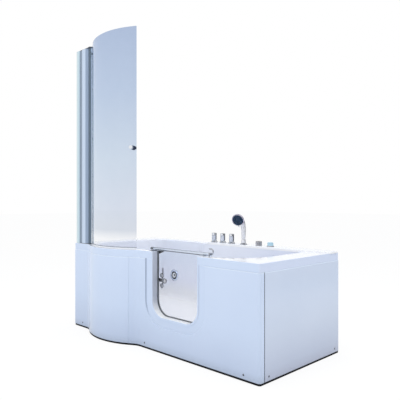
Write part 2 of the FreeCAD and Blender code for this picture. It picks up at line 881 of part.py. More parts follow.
def panel_screws():
    profile = [
        (0, 0),
        (s.screw_head_radius, 0),
        (s.screw_head_radius / 2, s.screw_head_height),
        (0, s.screw_head_height),
    ]
    length = s.screw_length
    heads = []
    for x in FRONT_SCREWS:
        head = turned(profile, (x, FRONT, s.screw_height), -Y)
        heads.append(fuse(head, rod((x, FRONT, s.screw_height), Y, s.screw_shank_radius, length)))
    for y in END_SCREWS:
        head = turned(profile, (RIGHT, y, s.screw_height), X)
        heads.append(fuse(head, rod((RIGHT, y, s.screw_height), -X, s.screw_shank_radius, length)))
    part(group(heads), "panel_screws")


def panel_battens():
    inside = FRONT + s.panel_thickness
    deep = (s.batten_depth, s.batten_height)
    short = box((LEFT + s.panel_thickness, inside, s.panel_foot), (s.batten_left_length, *deep))
    long_start = plain(BLENDS[1].x)
    long_end = RIGHT - s.panel_thickness - s.batten_depth
    long = box((long_start, inside, s.panel_foot), (long_end - long_start, *deep))
    end_start = inside + s.batten_depth + s.batten_end_margin
    end_length = BACK - s.batten_end_margin - end_start
    end = box((long_end, end_start, s.panel_foot), (s.batten_depth, end_length, s.batten_height))
    pieces = [cut(short, *front_screw_holes([0])), cut(long, *front_screw_holes([1, 2]))]
    part(group(pieces + [cut(end, *end_screw_holes())]), "panel_battens")


# Door surround and seal

def door_surround():
    flange_front = FRONT + s.recess_depth - s.flange_thickness
    liner = door_ring(ZERO, s.liner_wall, RIM, INNER_FRONT, INNER_FRONT - flange_front)
    flange = door_ring(ZERO, s.flange_width, PANEL_TOP, FRONT + s.recess_depth, s.flange_thickness)
    part(fuse(liner, flange), "door_surround")


def door_seal():
    face = door_ring(-s.seal_lip, s.seal_lap, RIM, SEAL_REAR, s.seal_thickness)
    lip = door_ring(-s.seal_lip, -s.fit_gap, RIM, INNER_FRONT + s.fit_gap, s.seal_lip_depth)
    part(fuse(face, lip), "door_seal")


# Door leaf, hinge and latch

DISC_XS = (HINGE_X + s.strap_from_hinge, HINGE_X + s.strap_from_hinge, HINGE_X + s.knob_disc_from_hinge)
DISC_ZS = (s.hinge_height - s.disc_below, s.hinge_height + s.disc_below, s.hinge_height)
DISC_RADII = (s.disc_radius, s.disc_radius, s.knob_disc_radius)


def door_glass():
    leaf = door_plate(s.door_glass_lap, DOOR_GLASS_TOP, GLASS_REAR, s.door_glass_thickness)
    reach = s.door_glass_thickness + s.overrun * 2
    holes = []
    for x, z in zip(DISC_XS, DISC_ZS):
        holes.append(rod((x, GLASS_FRONT - s.overrun, z), Y, s.disc_bolt_radius + s.fit_gap, reach))
    part(cut(leaf, *holes), "door_glass")


def door_rail():
    start = HINGE_X - s.rail_tail
    tube = rod((start, HINGE_Y, RAIL_Z), X, s.rail_radius, HOOK_X - start)
    pin = rod((HINGE_X, HINGE_Y, RIM), Z, s.hinge_pin_radius, RAIL_Z - RIM)
    slot_left = DOOR_LEFT - s.door_glass_lap - s.fit_gap
    slot_length = s.door_width + (s.door_glass_lap + s.fit_gap) * 2
    slot_wide = s.door_glass_thickness + s.fit_gap * 2
    slot_low = RAIL_Z - s.rail_radius - s.overrun
    slot_tall = s.overrun + s.rail_grip + s.fit_gap
    slot = box((slot_left, GLASS_FRONT - s.fit_gap, slot_low), (slot_length, slot_wide, slot_tall))
    bore_start = (HOOK_X - s.hook_shaft, HINGE_Y, RAIL_Z)
    bore = rod(bore_start, X, s.hook_radius + s.bearing_gap, s.hook_shaft + s.overrun)
    part(fuse(cut(tube, slot, bore), pin), "door_rail")


def hinge_bracket():
    low = (HINGE_X - s.bracket_width / 2, INNER_FRONT - s.bracket_length, RIM)
    plate = box(low, (s.bracket_width, s.bracket_length, s.bracket_plate))
    neck_low = (HINGE_X - s.bracket_boss_radius, INNER_FRONT - s.bracket_boss_radius, RIM)
    neck_wide = s.bracket_boss_radius * 2
    neck = box(neck_low, (neck_wide, s.hinge_behind_wall + s.bracket_boss_radius, s.bracket_plate))
    boss = rod((HINGE_X, HINGE_Y, RIM), Z, s.bracket_boss_radius, s.bracket_plate)
    hole = rod((HINGE_X, HINGE_Y, RIM - s.overrun), Z, s.hinge_pin_radius + s.bearing_gap, s.overrun * 2)
    part(cut(fuse(plate, neck, boss), hole), "hinge_bracket")


def hinge():
    """The leaf on the tub wall, the pin, and the strap that carries the glass."""
    outer = (s.hinge_length - s.hinge_middle_length) / 2 - s.running_gap
    upper_z = HINGE_FOOT + s.hinge_length - outer
    bore_radius = s.hinge_pin_radius + s.bearing_gap
    leaf_left = HINGE_X - s.knuckle_radius - s.leaf_width
    pieces = [box((leaf_left, INNER_FRONT, HINGE_FOOT), (s.leaf_width, s.leaf_thickness, s.hinge_length))]
    for z in (HINGE_FOOT, upper_z):
        web_wide = s.knuckle_radius * 2
        pieces.append(rod((HINGE_X, HINGE_Y, z), Z, s.knuckle_radius, outer))
        low = (HINGE_X - web_wide, INNER_FRONT, z)
        pieces.append(box(low, (web_wide, s.hinge_behind_wall - s.hinge_pin_radius, outer)))
    bore = rod((HINGE_X, HINGE_Y, HINGE_FOOT - s.overrun), Z, bore_radius, s.hinge_length + s.overrun * 2)
    part(cut(fuse(*pieces), bore), "hinge_leaf")

    head = s.hinge_pin_head_radius
    profile = [
        (0, 0),
        (s.hinge_pin_radius, 0),
        (s.hinge_pin_radius, s.hinge_length),
        (head, s.hinge_length),
        (head, s.hinge_length + s.hinge_pin_head),
        (0, s.hinge_length + s.hinge_pin_head),
    ]
    part(turned(profile, (HINGE_X, HINGE_Y, HINGE_FOOT)), "hinge_pin")

    strap_y = GLASS_REAR + s.fit_gap / 2
    middle_z = s.hinge_height - s.hinge_middle_length / 2
    knuckle = rod((HINGE_X, HINGE_Y, middle_z), Z, s.knuckle_radius, s.hinge_middle_length)
    arm_low = (HINGE_X, strap_y, s.hinge_height - s.arm_height / 2)
    arm_long = s.knob_disc_from_hinge + s.knob_disc_radius / 2
    arm = box(arm_low, (arm_long, s.strap_thickness, s.arm_height))
    strap_low = (HINGE_X + s.strap_from_hinge - s.strap_width / 2, strap_y, s.hinge_height - s.strap_below)
    strap = box(strap_low, (s.strap_width, s.strap_thickness, s.strap_below + s.strap_above))
    low_z = middle_z - s.overrun
    bore = rod((HINGE_X, HINGE_Y, low_z), Z, bore_radius, s.hinge_middle_length + s.overrun * 2)
    part(cut(fuse(knuckle, arm, strap), bore), "hinge_strap")

    discs = []
    for x, z, radius in zip(DISC_XS, DISC_ZS, DISC_RADII):
        shank = s.fit_gap + s.door_glass_thickness
        profile = [
            (0, 0),
            (radius * DISC_CROWN_SHARE, 0),
            (radius, s.disc_thickness / 2),
            (radius, s.disc_thickness),
            (s.disc_bolt_radius, s.disc_thickness),
            (s.disc_bolt_radius, s.disc_thickness + shank),
            (0, s.disc_thickness + shank),
        ]
        discs.append(turned(profile, (x, GLASS_FRONT - s.fit_gap / 2 - s.disc_thickness, z), Y))
    part(group(discs), "hinge_discs")


def latch():
    """A hook that turns in the end of the rail, and the pin on the rim that it goes round."""
    shaft = rod((HOOK_X - s.hook_shaft, HINGE_Y, RAIL_Z), X, s.hook_radius, s.hook_shaft)
    down = -Z
    curl = bend((HOOK_X, HINGE_Y, RAIL_Z + s.hook_bend), down, X, s.hook_bend, s.hook_radius, HALF_TURN)
    top = RAIL_Z + s.hook_bend * 2
    tip = rod((HOOK_X, HINGE_Y, top), -X, s.hook_radius, s.hook_tip)
    end = ball((HOOK_X - s.hook_tip, HINGE_Y, top), s.hook_radius)
    part(fuse(shaft, curl, tip, end), "latch_hook")
    pin_y = HINGE_Y - s.hook_bend
    pin = rod((HOOK_X, pin_y, RIM), Z, s.latch_pin_radius, s.latch_pin_height)
    tip = ball((HOOK_X, pin_y, RIM + s.latch_pin_height), s.latch_pin_radius)
    part(fuse(pin, tip), "latch_pin")


# Bath screen

def wall_channel():
    low_y = POST_Y - s.channel_depth / 2
    block = box((LEFT, low_y, RIM), (s.channel_width, s.channel_depth, s.screen_height))
    inner = s.channel_depth - s.channel_wall * 2
    low = (LEFT + s.channel_wall, low_y + s.channel_wall, RIM - s.overrun)
    groove = box(low, (s.channel_width, inner, s.screen_height + s.overrun * 2))
    holes = []
    for z in (RIM + s.channel_hole_margin, RIM + s.channel_hole_margin + s.channel_hole_spacing):
        holes.append(rod((LEFT - s.overrun, POST_Y, z), X, s.channel_hole_radius, s.overrun * 2))
    part(cut(block, groove, *holes), "wall_channel")


def adjuster_profile():
    depth = s.channel_depth - (s.channel_wall + s.fit_gap) * 2
    length = s.adjuster_reach - s.adjuster_setback
    low = (LEFT + s.adjuster_setback, POST_Y - depth / 2, RIM)
    tube = box(low, (length, depth, s.screen_height))
    wall = s.adjuster_wall
    inner_low = (LEFT + s.adjuster_setback + wall, POST_Y - depth / 2 + wall, RIM - s.overrun)
    inner = box(inner_low, (length - wall * 2, depth - wall * 2, s.screen_height + s.overrun * 2))
    part(cut(tube, inner), "adjuster_profile")


def screen_post():
    half, nose = s.channel_depth / 2 + s.channel_wall, s.post_nose
    corners = [
        (0, -half),
        (s.post_flat, -half),
        (s.post_width, -nose),
        (s.post_width, nose),
        (s.post_flat, half),
        (0, half),
    ]
    start_z = RIM + s.pivot_plate
    tall = s.screen_height - s.pivot_plate * 2
    post = padded("XY_Plane", corners, tall, (LEFT + s.adjuster_reach, POST_Y, start_z))
    middle = LEFT + s.adjuster_reach + s.post_flat / 2
    bore = rod((middle, POST_Y, start_z - s.overrun), Z, s.post_bore_radius, tall + s.overrun * 2)
    part(cut(post, bore), "screen_post")


def pivot():
    """The tube that carries the glass, and the plates above and below that hold its pins."""
    low_z = RIM + s.pivot_plate + s.running_gap
    tall = s.screen_height - (s.pivot_plate + s.running_gap) * 2
    tube = rod((PIVOT_X, PIVOT_Y, low_z), Z, s.pivot_radius, tall)
    bore_radius = s.pivot_pin_radius + s.bearing_gap
    depth = s.pivot_pin_length + s.running_gap
    lower = rod((PIVOT_X, PIVOT_Y, low_z - s.overrun), Z, bore_radius, depth + s.overrun)
    upper = rod((PIVOT_X, PIVOT_Y, low_z + tall - depth), Z, bore_radius, depth + s.overrun)
    half = s.screen_glass_thickness / 2 + s.fit_gap
    start = PIVOT_X + s.screen_glass_start - s.fit_gap
    stop = PIVOT_X + s.pivot_radius + s.overrun
    plan = front_strip(s.screen_inset - half, s.screen_inset + half, start, stop)
    groove = solid(raised(plan, RIM + s.screen_glass_foot - s.fit_gap, SCREEN_TOP + s.overrun))
    part(cut(tube, lower, upper, groove), "pivot_tube")

    plates = []
    reach = s.pivot_from_left - s.adjuster_reach
    pin_long = s.pivot_plate / 2 + s.pivot_pin_length
    plate_zs = (RIM, SCREEN_TOP - s.pivot_plate)
    pin_zs = (RIM + s.pivot_plate / 2, SCREEN_TOP - pin_long - s.pivot_plate / 2)
    for z, pin_z in zip(plate_zs, pin_zs):
        low = (LEFT + s.adjuster_reach, POST_Y - s.channel_depth / 2, z)
        plate = box(low, (reach, s.channel_depth, s.pivot_plate))
        disc = rod((PIVOT_X, PIVOT_Y, z), Z, s.pivot_radius, s.pivot_plate)
        plates.append(fuse(plate, disc, rod((PIVOT_X, PIVOT_Y, pin_z), Z, s.pivot_pin_radius, pin_long)))
    part(group(plates), "pivot_brackets")


def screen_leaf():
    """The curved glass, the seal on its foot and the knob near its free edge."""
    free_x = LEFT + s.screen_free_from_left
    half = s.screen_glass_thickness / 2
    glass_top = SCREEN_TOP - s.pivot_plate - s.running_gap
    glass_foot = RIM + s.screen_glass_foot
    start = PIVOT_X + s.screen_glass_start
    plan = front_strip(s.screen_inset - half, s.screen_inset + half, start, free_x)
    sheet_glass = solid(raised(plan, glass_foot, glass_top))

    knob_x = float(free_x - s.screen_knob_from_edge)
    middle = Vector(knob_x, front_y(knob_x, float(s.screen_inset)), float(s.screen_knob_height))
    centre = BLENDS[1] if knob_x > front_stations(float(s.screen_inset))[2] else BOW
    facing = Vector(middle.x - centre.x, middle.y - centre.y, 0).normalize()
    if facing.y > 0:
        facing = facing * -1
    bolt = s.screen_knob_bolt_radius + s.fit_gap
    behind = middle - facing * float(s.overrun)
    hole = rod((behind.x, behind.y, behind.z), facing, bolt, s.overrun * 2)
    part(cut(sheet_glass, hole), "screen_glass")

    foot = RIM + s.screen_seal_gap
    wide = s.screen_seal_width / 2
    seal_start = PIVOT_X + s.screen_seal_from_pivot
    seal_plan = front_strip(s.screen_inset - wide, s.screen_inset + wide, seal_start, free_x)
    body = solid(raised(seal_plan, foot, RIM + s.screen_seal_height))
    snug = half + s.fit_gap / 2
    ends = (seal_start - s.overrun, free_x + s.overrun)
    seat_plan = front_strip(s.screen_inset - snug, s.screen_inset + snug, *ends)
    seat = solid(raised(seat_plan, glass_foot - s.fit_gap / 2, RIM + s.screen_seal_height + s.overrun))
    part(cut(body, seat), "screen_seal")

    stand_off = half + s.fit_gap / 2
    profile = [
        (0, 0),
        (s.screen_knob_bolt_radius, 0),
        (s.screen_knob_bolt_radius, stand_off),
        (s.screen_knob_neck_radius, stand_off),
        (s.screen_knob_neck_radius, stand_off + s.screen_knob_neck),
        (s.screen_knob_radius, stand_off + s.screen_knob_neck),
        (s.screen_knob_radius, stand_off + s.screen_knob_length),
        (0, stand_off + s.screen_knob_length),
    ]
    place = (middle.x, middle.y, middle.z)
    part(fuse(turned(profile, place, facing), turned(profile, place, facing * -1)), "screen_knob")


# Frame, board and feet

CROSS_XS = [s.tub_length * share for share in CROSS_SHARES]
CROSS_START = FRONT + s.cross_from_front
CROSS_LENGTH = s.tub_width - s.cross_from_front * 2
FOOT_YS = (CROSS_START + s.foot_from_end, CROSS_START + CROSS_LENGTH - s.foot_from_end)


def frame():
    size = s.tube_size
    crosses = []
    for x in CROSS_XS:
        crosses.append(box((x - size / 2, CROSS_START, s.cross_height), (size, CROSS_LENGTH, size)))
    part(group(crosses), "cross_members")

    start = CROSS_XS[0] - size / 2
    length = CROSS_XS[-2] - start
    rails = []
    for y in (FRONT + s.rail_from_front, BACK - s.rail_from_back - size):
        rails.append(box((start, y, CROSS_TOP), (length, size, size)))
    part(group(rails), "side_rails")

    posts = []
    tall = DECK_UNDER - CROSS_TOP
    for x in (CROSS_XS[0], CROSS_XS[-1]):
        for y in (CROSS_START, CROSS_START + CROSS_LENGTH - size):
            posts.append(box((x - size / 2, y, CROSS_TOP), (size, size, tall)))
    beside = s.door_width / 2 + s.recess_width + s.door_post_from_recess
    batten_top = s.panel_foot + s.batten_height
    for x in (DOOR_X - beside - size / 2, DOOR_X + beside - size / 2):
        low = (x, FRONT + s.door_post_from_front, batten_top)
        posts.append(box(low, (size, s.door_post_depth, DECK_UNDER - batten_top)))
    part(group(posts), "frame_posts")

    board_left, board_front = LEFT + s.board_from_left, FRONT + s.board_from_front
    board_right, board_back = RIGHT - s.board_from_right, BACK - s.board_from_back
    extent = (board_right - board_left, board_back - board_front, s.board_thickness)
    board = box((board_left, board_front, RAIL_TOP), extent)
    reach = s.overrun * 2 + s.board_thickness
    around = rod((WASTE_X, WASTE_Y, RAIL_TOP - s.overrun), Z, s.board_waste_radius, reach)
    part(cut(board, around), "base_board")


def feet():
    pads, studs = [], []
    stud_length = s.cross_height - s.foot_pad_height
    nut_z = s.cross_height - s.foot_nut_height
    for x in CROSS_XS:
        for y in FOOT_YS:
            profile = [
                (0, 0),
                (s.foot_radius, 0),
                (s.foot_radius, s.foot_pad_height / 2),
                (s.foot_radius / 2, s.foot_pad_height),
                (0, s.foot_pad_height),
            ]
            pads.append(turned(profile, (x, y, 0)))
            stud = rod((x, y, s.foot_pad_height), Z, s.foot_stud_radius, stud_length)
            nut = doc.addObject("Part::Prism", "Nut")
            nut.Polygon = 6
            bind(nut, Circumradius=s.foot_nut_radius, Height=s.foot_nut_height)
            nut.Placement = Placement(point(x, y, nut_z), Rotation())
            snug = s.foot_stud_radius + s.bearing_gap
            hole = rod((x, y, nut_z - s.overrun), Z, snug, s.overrun * 2 + s.foot_nut_height)
            studs += [stud, cut(nut, hole)]
    part(group(pads), "foot_pads")
    part(group(studs), "foot_studs")


# Waste and overflow

def waste():
    floor = s.basin_floor_height
    neck, bore, length = s.waste_neck_radius, s.waste_bore_radius, s.waste_neck_length
    thick = s.waste_flange_thickness
    profile = [
        (bore, -length),
        (neck, -length),
        (neck, 0),
        (s.waste_flange_radius, 0),
        (s.waste_flange_radius - thick / 2, thick),
        (bore, thick),
    ]
    part(turned(profile, (WASTE_X, WASTE_Y, floor)), "waste_flange")

    gap = thick + s.running_gap
    stem = s.plug_stem_radius
    profile = [
        (0, gap - s.plug_stem_length),
        (stem, gap - s.plug_stem_length),
        (stem, gap),
        (s.plug_radius, gap),
        (s.plug_radius, gap + s.plug_thickness / 2),
        (s.plug_radius / 2, gap + s.plug_thickness),
        (0, gap + s.plug_thickness),
    ]
    part(turned(profile, (WASTE_X, WASTE_Y, floor)), "waste_plug")

    neck_foot = floor - length
    pipe_z = s.waste_pipe_height
    end_x = LEFT + s.waste_pipe_from_left
    tubes = []
    for radius, extra in ((s.waste_pipe_radius, ZERO), (s.waste_pipe_bore, s.overrun)):
        corner = (WASTE_X, WASTE_Y, pipe_z)
        down = rod(corner, Z, radius, neck_foot - pipe_z)
        level = rod(corner, -X, radius, WASTE_X - end_x + extra)
        tubes.append(fuse(down, ball(corner, radius), level))
    outer, inner = tubes
    seat_z = neck_foot - s.waste_neck_radius / 4
    collar = rod((WASTE_X, WASTE_Y, seat_z), Z, s.waste_collar_radius, s.waste_collar_length)
    snug = s.waste_neck_radius + s.fit_gap
    socket = rod((WASTE_X, WASTE_Y, neck_foot), Z, snug, s.waste_collar_length + s.overrun)
    stop = rod((end_x + s.waste_spigot_length, WASTE_Y, pipe_z), X, s.waste_stop_radius, s.waste_stop_width)
    part(cut(fuse(outer, collar, stop), inner, socket), "waste_pipe")


def overflow():
    z = s.overflow_height
    neck, thick = s.overflow_neck_radius, s.overflow_plate_thickness
    bore = s.overflow_bore_radius
    profile = [
        (bore, -s.overflow_neck_length),
        (neck, -s.overflow_neck_length),
        (neck, 0),
        (s.overflow_plate_radius, 0),
        (s.overflow_plate_radius, thick),
        (bore, thick),
    ]
    part(turned(profile, (INNER_LEFT, WASTE_Y, z), X), "overflow_plate")

    gap = thick + s.running_gap
    stem = bore - s.bearing_gap
    knob = s.overflow_knob_radius
    profile = [
        (0, gap - s.overflow_stem_length),
        (stem, gap - s.overflow_stem_length),
        (stem, gap),
        (knob, gap),
        (knob * KNOB_TAPER_SHARE, gap + s.overflow_knob_length),
        (0, gap + s.overflow_knob_length),
    ]
    turned_knob = turned(profile, (INNER_LEFT, WASTE_Y, z), X)
    grip_low = (INNER_LEFT + gap + s.overflow_knob_length, WASTE_Y - stem / 2, z - knob * KNOB_GRIP_SHARE)
    grip = box(grip_low, (s.overflow_knob_length / 2, stem, knob * KNOB_GRIP_SHARE * 2))
    part(fuse(turned_knob, grip), "overflow_knob")

    wall = INNER_LEFT - s.shell_wall
    pipe_x = wall - s.overflow_pipe_from_wall
    body = rod((wall, WASTE_Y, z), -X, s.overflow_body_radius, s.overflow_pipe_from_wall)
    elbow = ball((pipe_x, WASTE_Y, z), s.overflow_body_radius)
    drop = rod((pipe_x, WASTE_Y, s.waste_pipe_height), Z, s.overflow_pipe_radius, z - s.waste_pipe_height)
    socket = rod((wall + s.overrun, WASTE_Y, z), -X, neck + s.fit_gap, s.overrun + s.overflow_neck_length)
    saddle_start = (pipe_x + s.overflow_pipe_radius * 2, WASTE_Y, s.waste_pipe_height)
    saddle = rod(saddle_start, -X, s.waste_pipe_radius + s.fit_gap, s.overflow_pipe_radius * 4)
    part(cut(fuse(body, elbow, drop), socket, saddle), "overflow_pipe")


# Massage jets

def jets():
    rings, bodies = [], []
    bore, neck = s.jet_bore_radius, s.jet_neck_radius
    thick = s.jet_ring_thickness
    body_end = BACK - s.jet_body_from_back
    for name, x, wall in zip(JET_NAMES, JET_XS, JET_WALLS):
        profile = [
            (bore, -s.jet_neck_length),
            (neck, -s.jet_neck_length),
            (neck, 0),
            (s.jet_ring_radius, 0),
            (s.jet_ring_radius, thick / 3),
            (s.jet_ring_radius - thick, thick),
            (bore, thick),
        ]
        rings.append(turned(profile, (x, wall, s.jet_height), -Y))
        outside = wall + s.shell_wall
        shell = rod((x, outside, s.jet_height), Y, s.jet_body_radius, body_end - outside)
        recess = rod((x, wall, s.jet_height), Y, neck + s.fit_gap, s.shell_wall + s.jet_body_recess)
        bodies.append(cut(shell, recess))
        start = wall - thick + s.jet_nozzle_setback
        plug = rod((x, start, s.jet_height), Y, bore - s.bearing_gap, s.jet_nozzle_depth)
        hole_z = s.jet_height + s.jet_hole_offset
        hole = rod((x, start - s.overrun, hole_z), Y, s.jet_hole_radius, s.jet_nozzle_depth + s.overrun * 2)
        part(cut(plug, hole), name)
    part(group(rings), "jet_rings")
    part(group(bodies), "jet_bodies")


def pipes():
    """The water line from the pump to the jets, the suction line and the air line."""
    y = BACK - s.water_pipe_from_back
    z = s.jet_height - s.water_pipe_below_jet
    radius = s.water_pipe_radius
    pump_y = FRONT + s.pump_from_front + s.pump_motor_length + s.pump_housing_length / 2
    start = JET_XS[0] - s.water_pipe_overhang
    housing_top = s.pump_axis_height + s.pump_housing_radius
    pieces = [
        rod((start, y, z), X, radius, PUMP_X - start),
        ball((PUMP_X, y, z), radius),
        rod((PUMP_X, y, z), Z, radius, s.discharge_height - z),
        ball((PUMP_X, y, s.discharge_height), radius),
        rod((PUMP_X, pump_y, s.discharge_height), Y, radius, y - pump_y),
        ball((PUMP_X, pump_y, s.discharge_height), radius),
        rod((PUMP_X, pump_y, housing_top), Z, radius, s.discharge_height - housing_top),
    ]
    for x in JET_XS:
        pieces.append(rod((x, y, z), Z, s.water_stub_radius, s.water_pipe_below_jet - s.jet_body_radius))
    delivery = fuse(*pieces)

    y = BACK - s.suction_pipe_from_back
    axis = s.pump_axis_height
    housing_back = FRONT + s.pump_from_front + s.pump_motor_length + s.pump_housing_length
    neck_end = INNER_BACK + s.suction_neck_length
    suction = fuse(
        rod((SUCTION_X, neck_end, s.suction_height), Y, s.suction_elbow_radius, y - neck_end),
        ball((SUCTION_X, y, s.suction_height), s.suction_elbow_radius),
        rod((SUCTION_X, y, s.suction_height), X, s.suction_pipe_radius, PUMP_X - SUCTION_X),
        ball((PUMP_X, y, s.suction_height), s.suction_pipe_radius),
        rod((PUMP_X, y, axis), Z, s.suction_pipe_radius, s.suction_height - axis),
        ball((PUMP_X, y, axis), s.suction_pipe_radius),
        rod((PUMP_X, housing_back, axis), Y, s.suction_pipe_radius, y - housing_back),
    )
    part(group([delivery, suction]), "water_pipes")

    y = BACK - s.air_pipe_from_back
    z = s.jet_height + s.air_pipe_above_jet
    end = max(JET_XS[-1] + s.water_pipe_overhang, AIR_X + s.air_pipe_radius, key=float)
    valve_foot = DECK_UNDER - s.air_valve_length
    pieces = [
        rod((start, y, z), X, s.air_pipe_radius, end - start),
        rod((AIR_X, y, z), Z, s.air_pipe_radius, valve_foot - z),
    ]
    for x in JET_XS:
        stub = s.air_pipe_above_jet - s.jet_body_radius
        pieces.append(rod((x, y, z), -Z, s.air_stub_radius, stub))
    part(fuse(*pieces), "air_pipe")


def suction_cover():
    radius, thick = s.suction_cover_radius, s.suction_cover_thickness
    profile = [
        (0, -s.suction_neck_length),
        (s.suction_neck_radius, -s.suction_neck_length),
        (s.suction_neck_radius, 0),
        (radius, 0),
        (radius, thick / 2),
        (radius - thick, thick),
        (0, thick),
    ]
    cover = turned(profile, (SUCTION_X, INNER_BACK, s.suction_height), -Y)
    slots = []
    for number in range(SUCTION_SLOTS):
        angle = 2 * math.pi * number / SUCTION_SLOTS
        x = SUCTION_X + s.suction_slot_ring * math.cos(angle)
        z = s.suction_height + s.suction_slot_ring * math.sin(angle)
        slots.append(rod((x, INNER_BACK - thick * 2, z), Y, s.suction_slot_radius, thick + thick / 2))
    part(cut(cover, *slots), "suction_cover")


def pump():
    start = FRONT + s.pump_from_front
    axis = s.pump_axis_height
    base_top = CROSS_TOP + s.pump_base_thickness
    motor = rod((PUMP_X, start, axis), Y, s.pump_motor_radius, s.pump_motor_length)
    foot_low = (PUMP_X - s.pump_foot_width / 2, start, base_top)
    foot = box(foot_low, (s.pump_foot_width, s.pump_motor_length, axis - base_top))
    grooves = []
    for number in range(1, math.floor(float(s.pump_motor_length) / float(s.pump_fin_pitch))):
        y = start + s.pump_fin_pitch * number
        outer = rod((PUMP_X, y, axis), Y, s.pump_motor_radius + s.overrun, s.pump_fin_width)
        inner = rod((PUMP_X, y, axis), Y, s.pump_motor_radius - s.pump_fin_depth, s.pump_fin_width)
        grooves.append(cut(outer, inner))
    part(fuse(cut(motor, *grooves), foot), "pump_motor")

    housing_start = (PUMP_X, start + s.pump_motor_length, axis)
    part(rod(housing_start, Y, s.pump_housing_radius, s.pump_housing_length), "pump_housing")

    left, right = CROSS_XS[-2] + s.fit_gap, CROSS_XS[-1] + s.tube_size / 2
    deep = s.pump_motor_length + s.pump_housing_length + s.pump_base_margin * 2
    low = (left, start - s.pump_base_margin, CROSS_TOP)
    part(box(low, (right - left, deep, s.pump_base_thickness)), "pump_base")


# Deck fittings

def taps():
    valves, flanges = [], []
    for name, x in zip(TAP_NAMES, TAP_XS):
        under = DECK_UNDER - LEDGE
        nut = under - s.valve_nut_height
        body = under - s.valve_body_length
        profile = [
            (0, body - s.inlet_length),
            (s.inlet_radius, body - s.inlet_length),
            (s.inlet_radius, body),
            (s.valve_body_radius, body),
            (s.valve_body_radius, nut),
            (s.valve_nut_radius, nut),
            (s.valve_nut_radius, under),
            (s.valve_radius, under),
            (s.valve_radius, s.tap_flange_height),
            (s.valve_spindle_radius, s.tap_flange_height),
            (s.valve_spindle_radius, s.valve_spindle_height),
            (0, s.valve_spindle_height),
        ]
        valves.append(turned(profile, (x, FITTING_Y, LEDGE)))
        hole = s.valve_radius + s.fit_gap
        profile = [
            (hole, 0),
            (s.tap_flange_radius, 0),
            (s.tap_flange_radius, s.tap_flange_height / 2),
            (s.tap_handle_radius, s.tap_flange_height),
            (hole, s.tap_flange_height),
        ]
        flanges.append(turned(profile, (x, FITTING_Y, LEDGE)))
        low = s.tap_flange_height + s.running_gap
        top = low + s.tap_handle_height
        bore = s.valve_spindle_radius + s.bearing_gap
        chamfer = s.tap_handle_chamfer
        profile = [
            (bore, low),
            (s.tap_handle_radius, low),
            (s.tap_handle_radius, top - chamfer),
            (s.tap_handle_radius - chamfer, top),
            (0, top),
            (0, s.valve_spindle_height + s.running_gap),
            (bore, s.valve_spindle_height + s.running_gap),
        ]
        part(turned(profile, (x, FITTING_Y, LEDGE)), name)

    nut = DECK_UNDER - LEDGE
    profile = [
        (0, nut - s.air_valve_length),
        (s.air_valve_radius, nut - s.air_valve_length),
        (s.air_valve_radius, nut),
        (s.air_bush_radius, nut),
        (s.air_bush_radius, 0),
        (s.air_stem_radius, 0),
        (s.air_stem_radius, s.air_stem_height),
        (0, s.air_stem_height),
    ]
    valves.append(turned(profile, (AIR_X, FITTING_Y, LEDGE)))
    part(group(valves), "deck_valves")
    part(group(flanges), "tap_flanges")


def air_knob():
    low = LEDGE + s.running_gap
    body = rod((AIR_X, FITTING_Y, low), Z, s.air_knob_radius, s.air_knob_height)
    bore_depth = s.air_stem_height + s.overrun + s.running_gap
    bore = rod((AIR_X, FITTING_Y, LEDGE - s.overrun), Z, s.air_stem_radius + s.bearing_gap, bore_depth)
    flutes = []
    for number in range(AIR_FLUTES):
        angle = 2 * math.pi * number / AIR_FLUTES
        x = AIR_X + s.air_knob_radius * math.cos(angle)
        y = FITTING_Y + s.air_knob_radius * math.sin(angle)
        flutes.append(rod((x, y, LEDGE), Z, s.air_flute_radius, s.air_knob_height * FLUTE_SHARE))
    part(cut(body, bore, *flutes), "air_knob")


def jet_button():
    bore = s.button_radius + s.bearing_gap
    top = s.button_bezel_height
    under = DECK_UNDER - LEDGE
    profile = [
        (0, -s.button_tail_length),
        (s.button_tail_radius, -s.button_tail_length),
        (s.button_tail_radius, 0),
        (s.button_bezel_radius, 0),
        (s.button_bezel_radius, top - s.button_floor / 2),
        (s.button_bezel_radius - s.button_floor / 2, top),
        (bore, top),
        (bore, s.button_floor),
        (0, s.button_floor),
    ]
    part(turned(profile, (BUTTON_X, FITTING_Y, LEDGE)), "button_bezel")
    low = s.button_floor + s.button_travel + s.running_gap
    high = top + s.button_rise
    profile = [
        (0, low),
        (s.button_radius, low),
        (s.button_radius, high - s.button_floor / 2),
        (s.button_radius - s.button_floor / 2, high),
        (0, high),
    ]
    part(turned(profile, (BUTTON_X, FITTING_Y, LEDGE)), "jet_button")


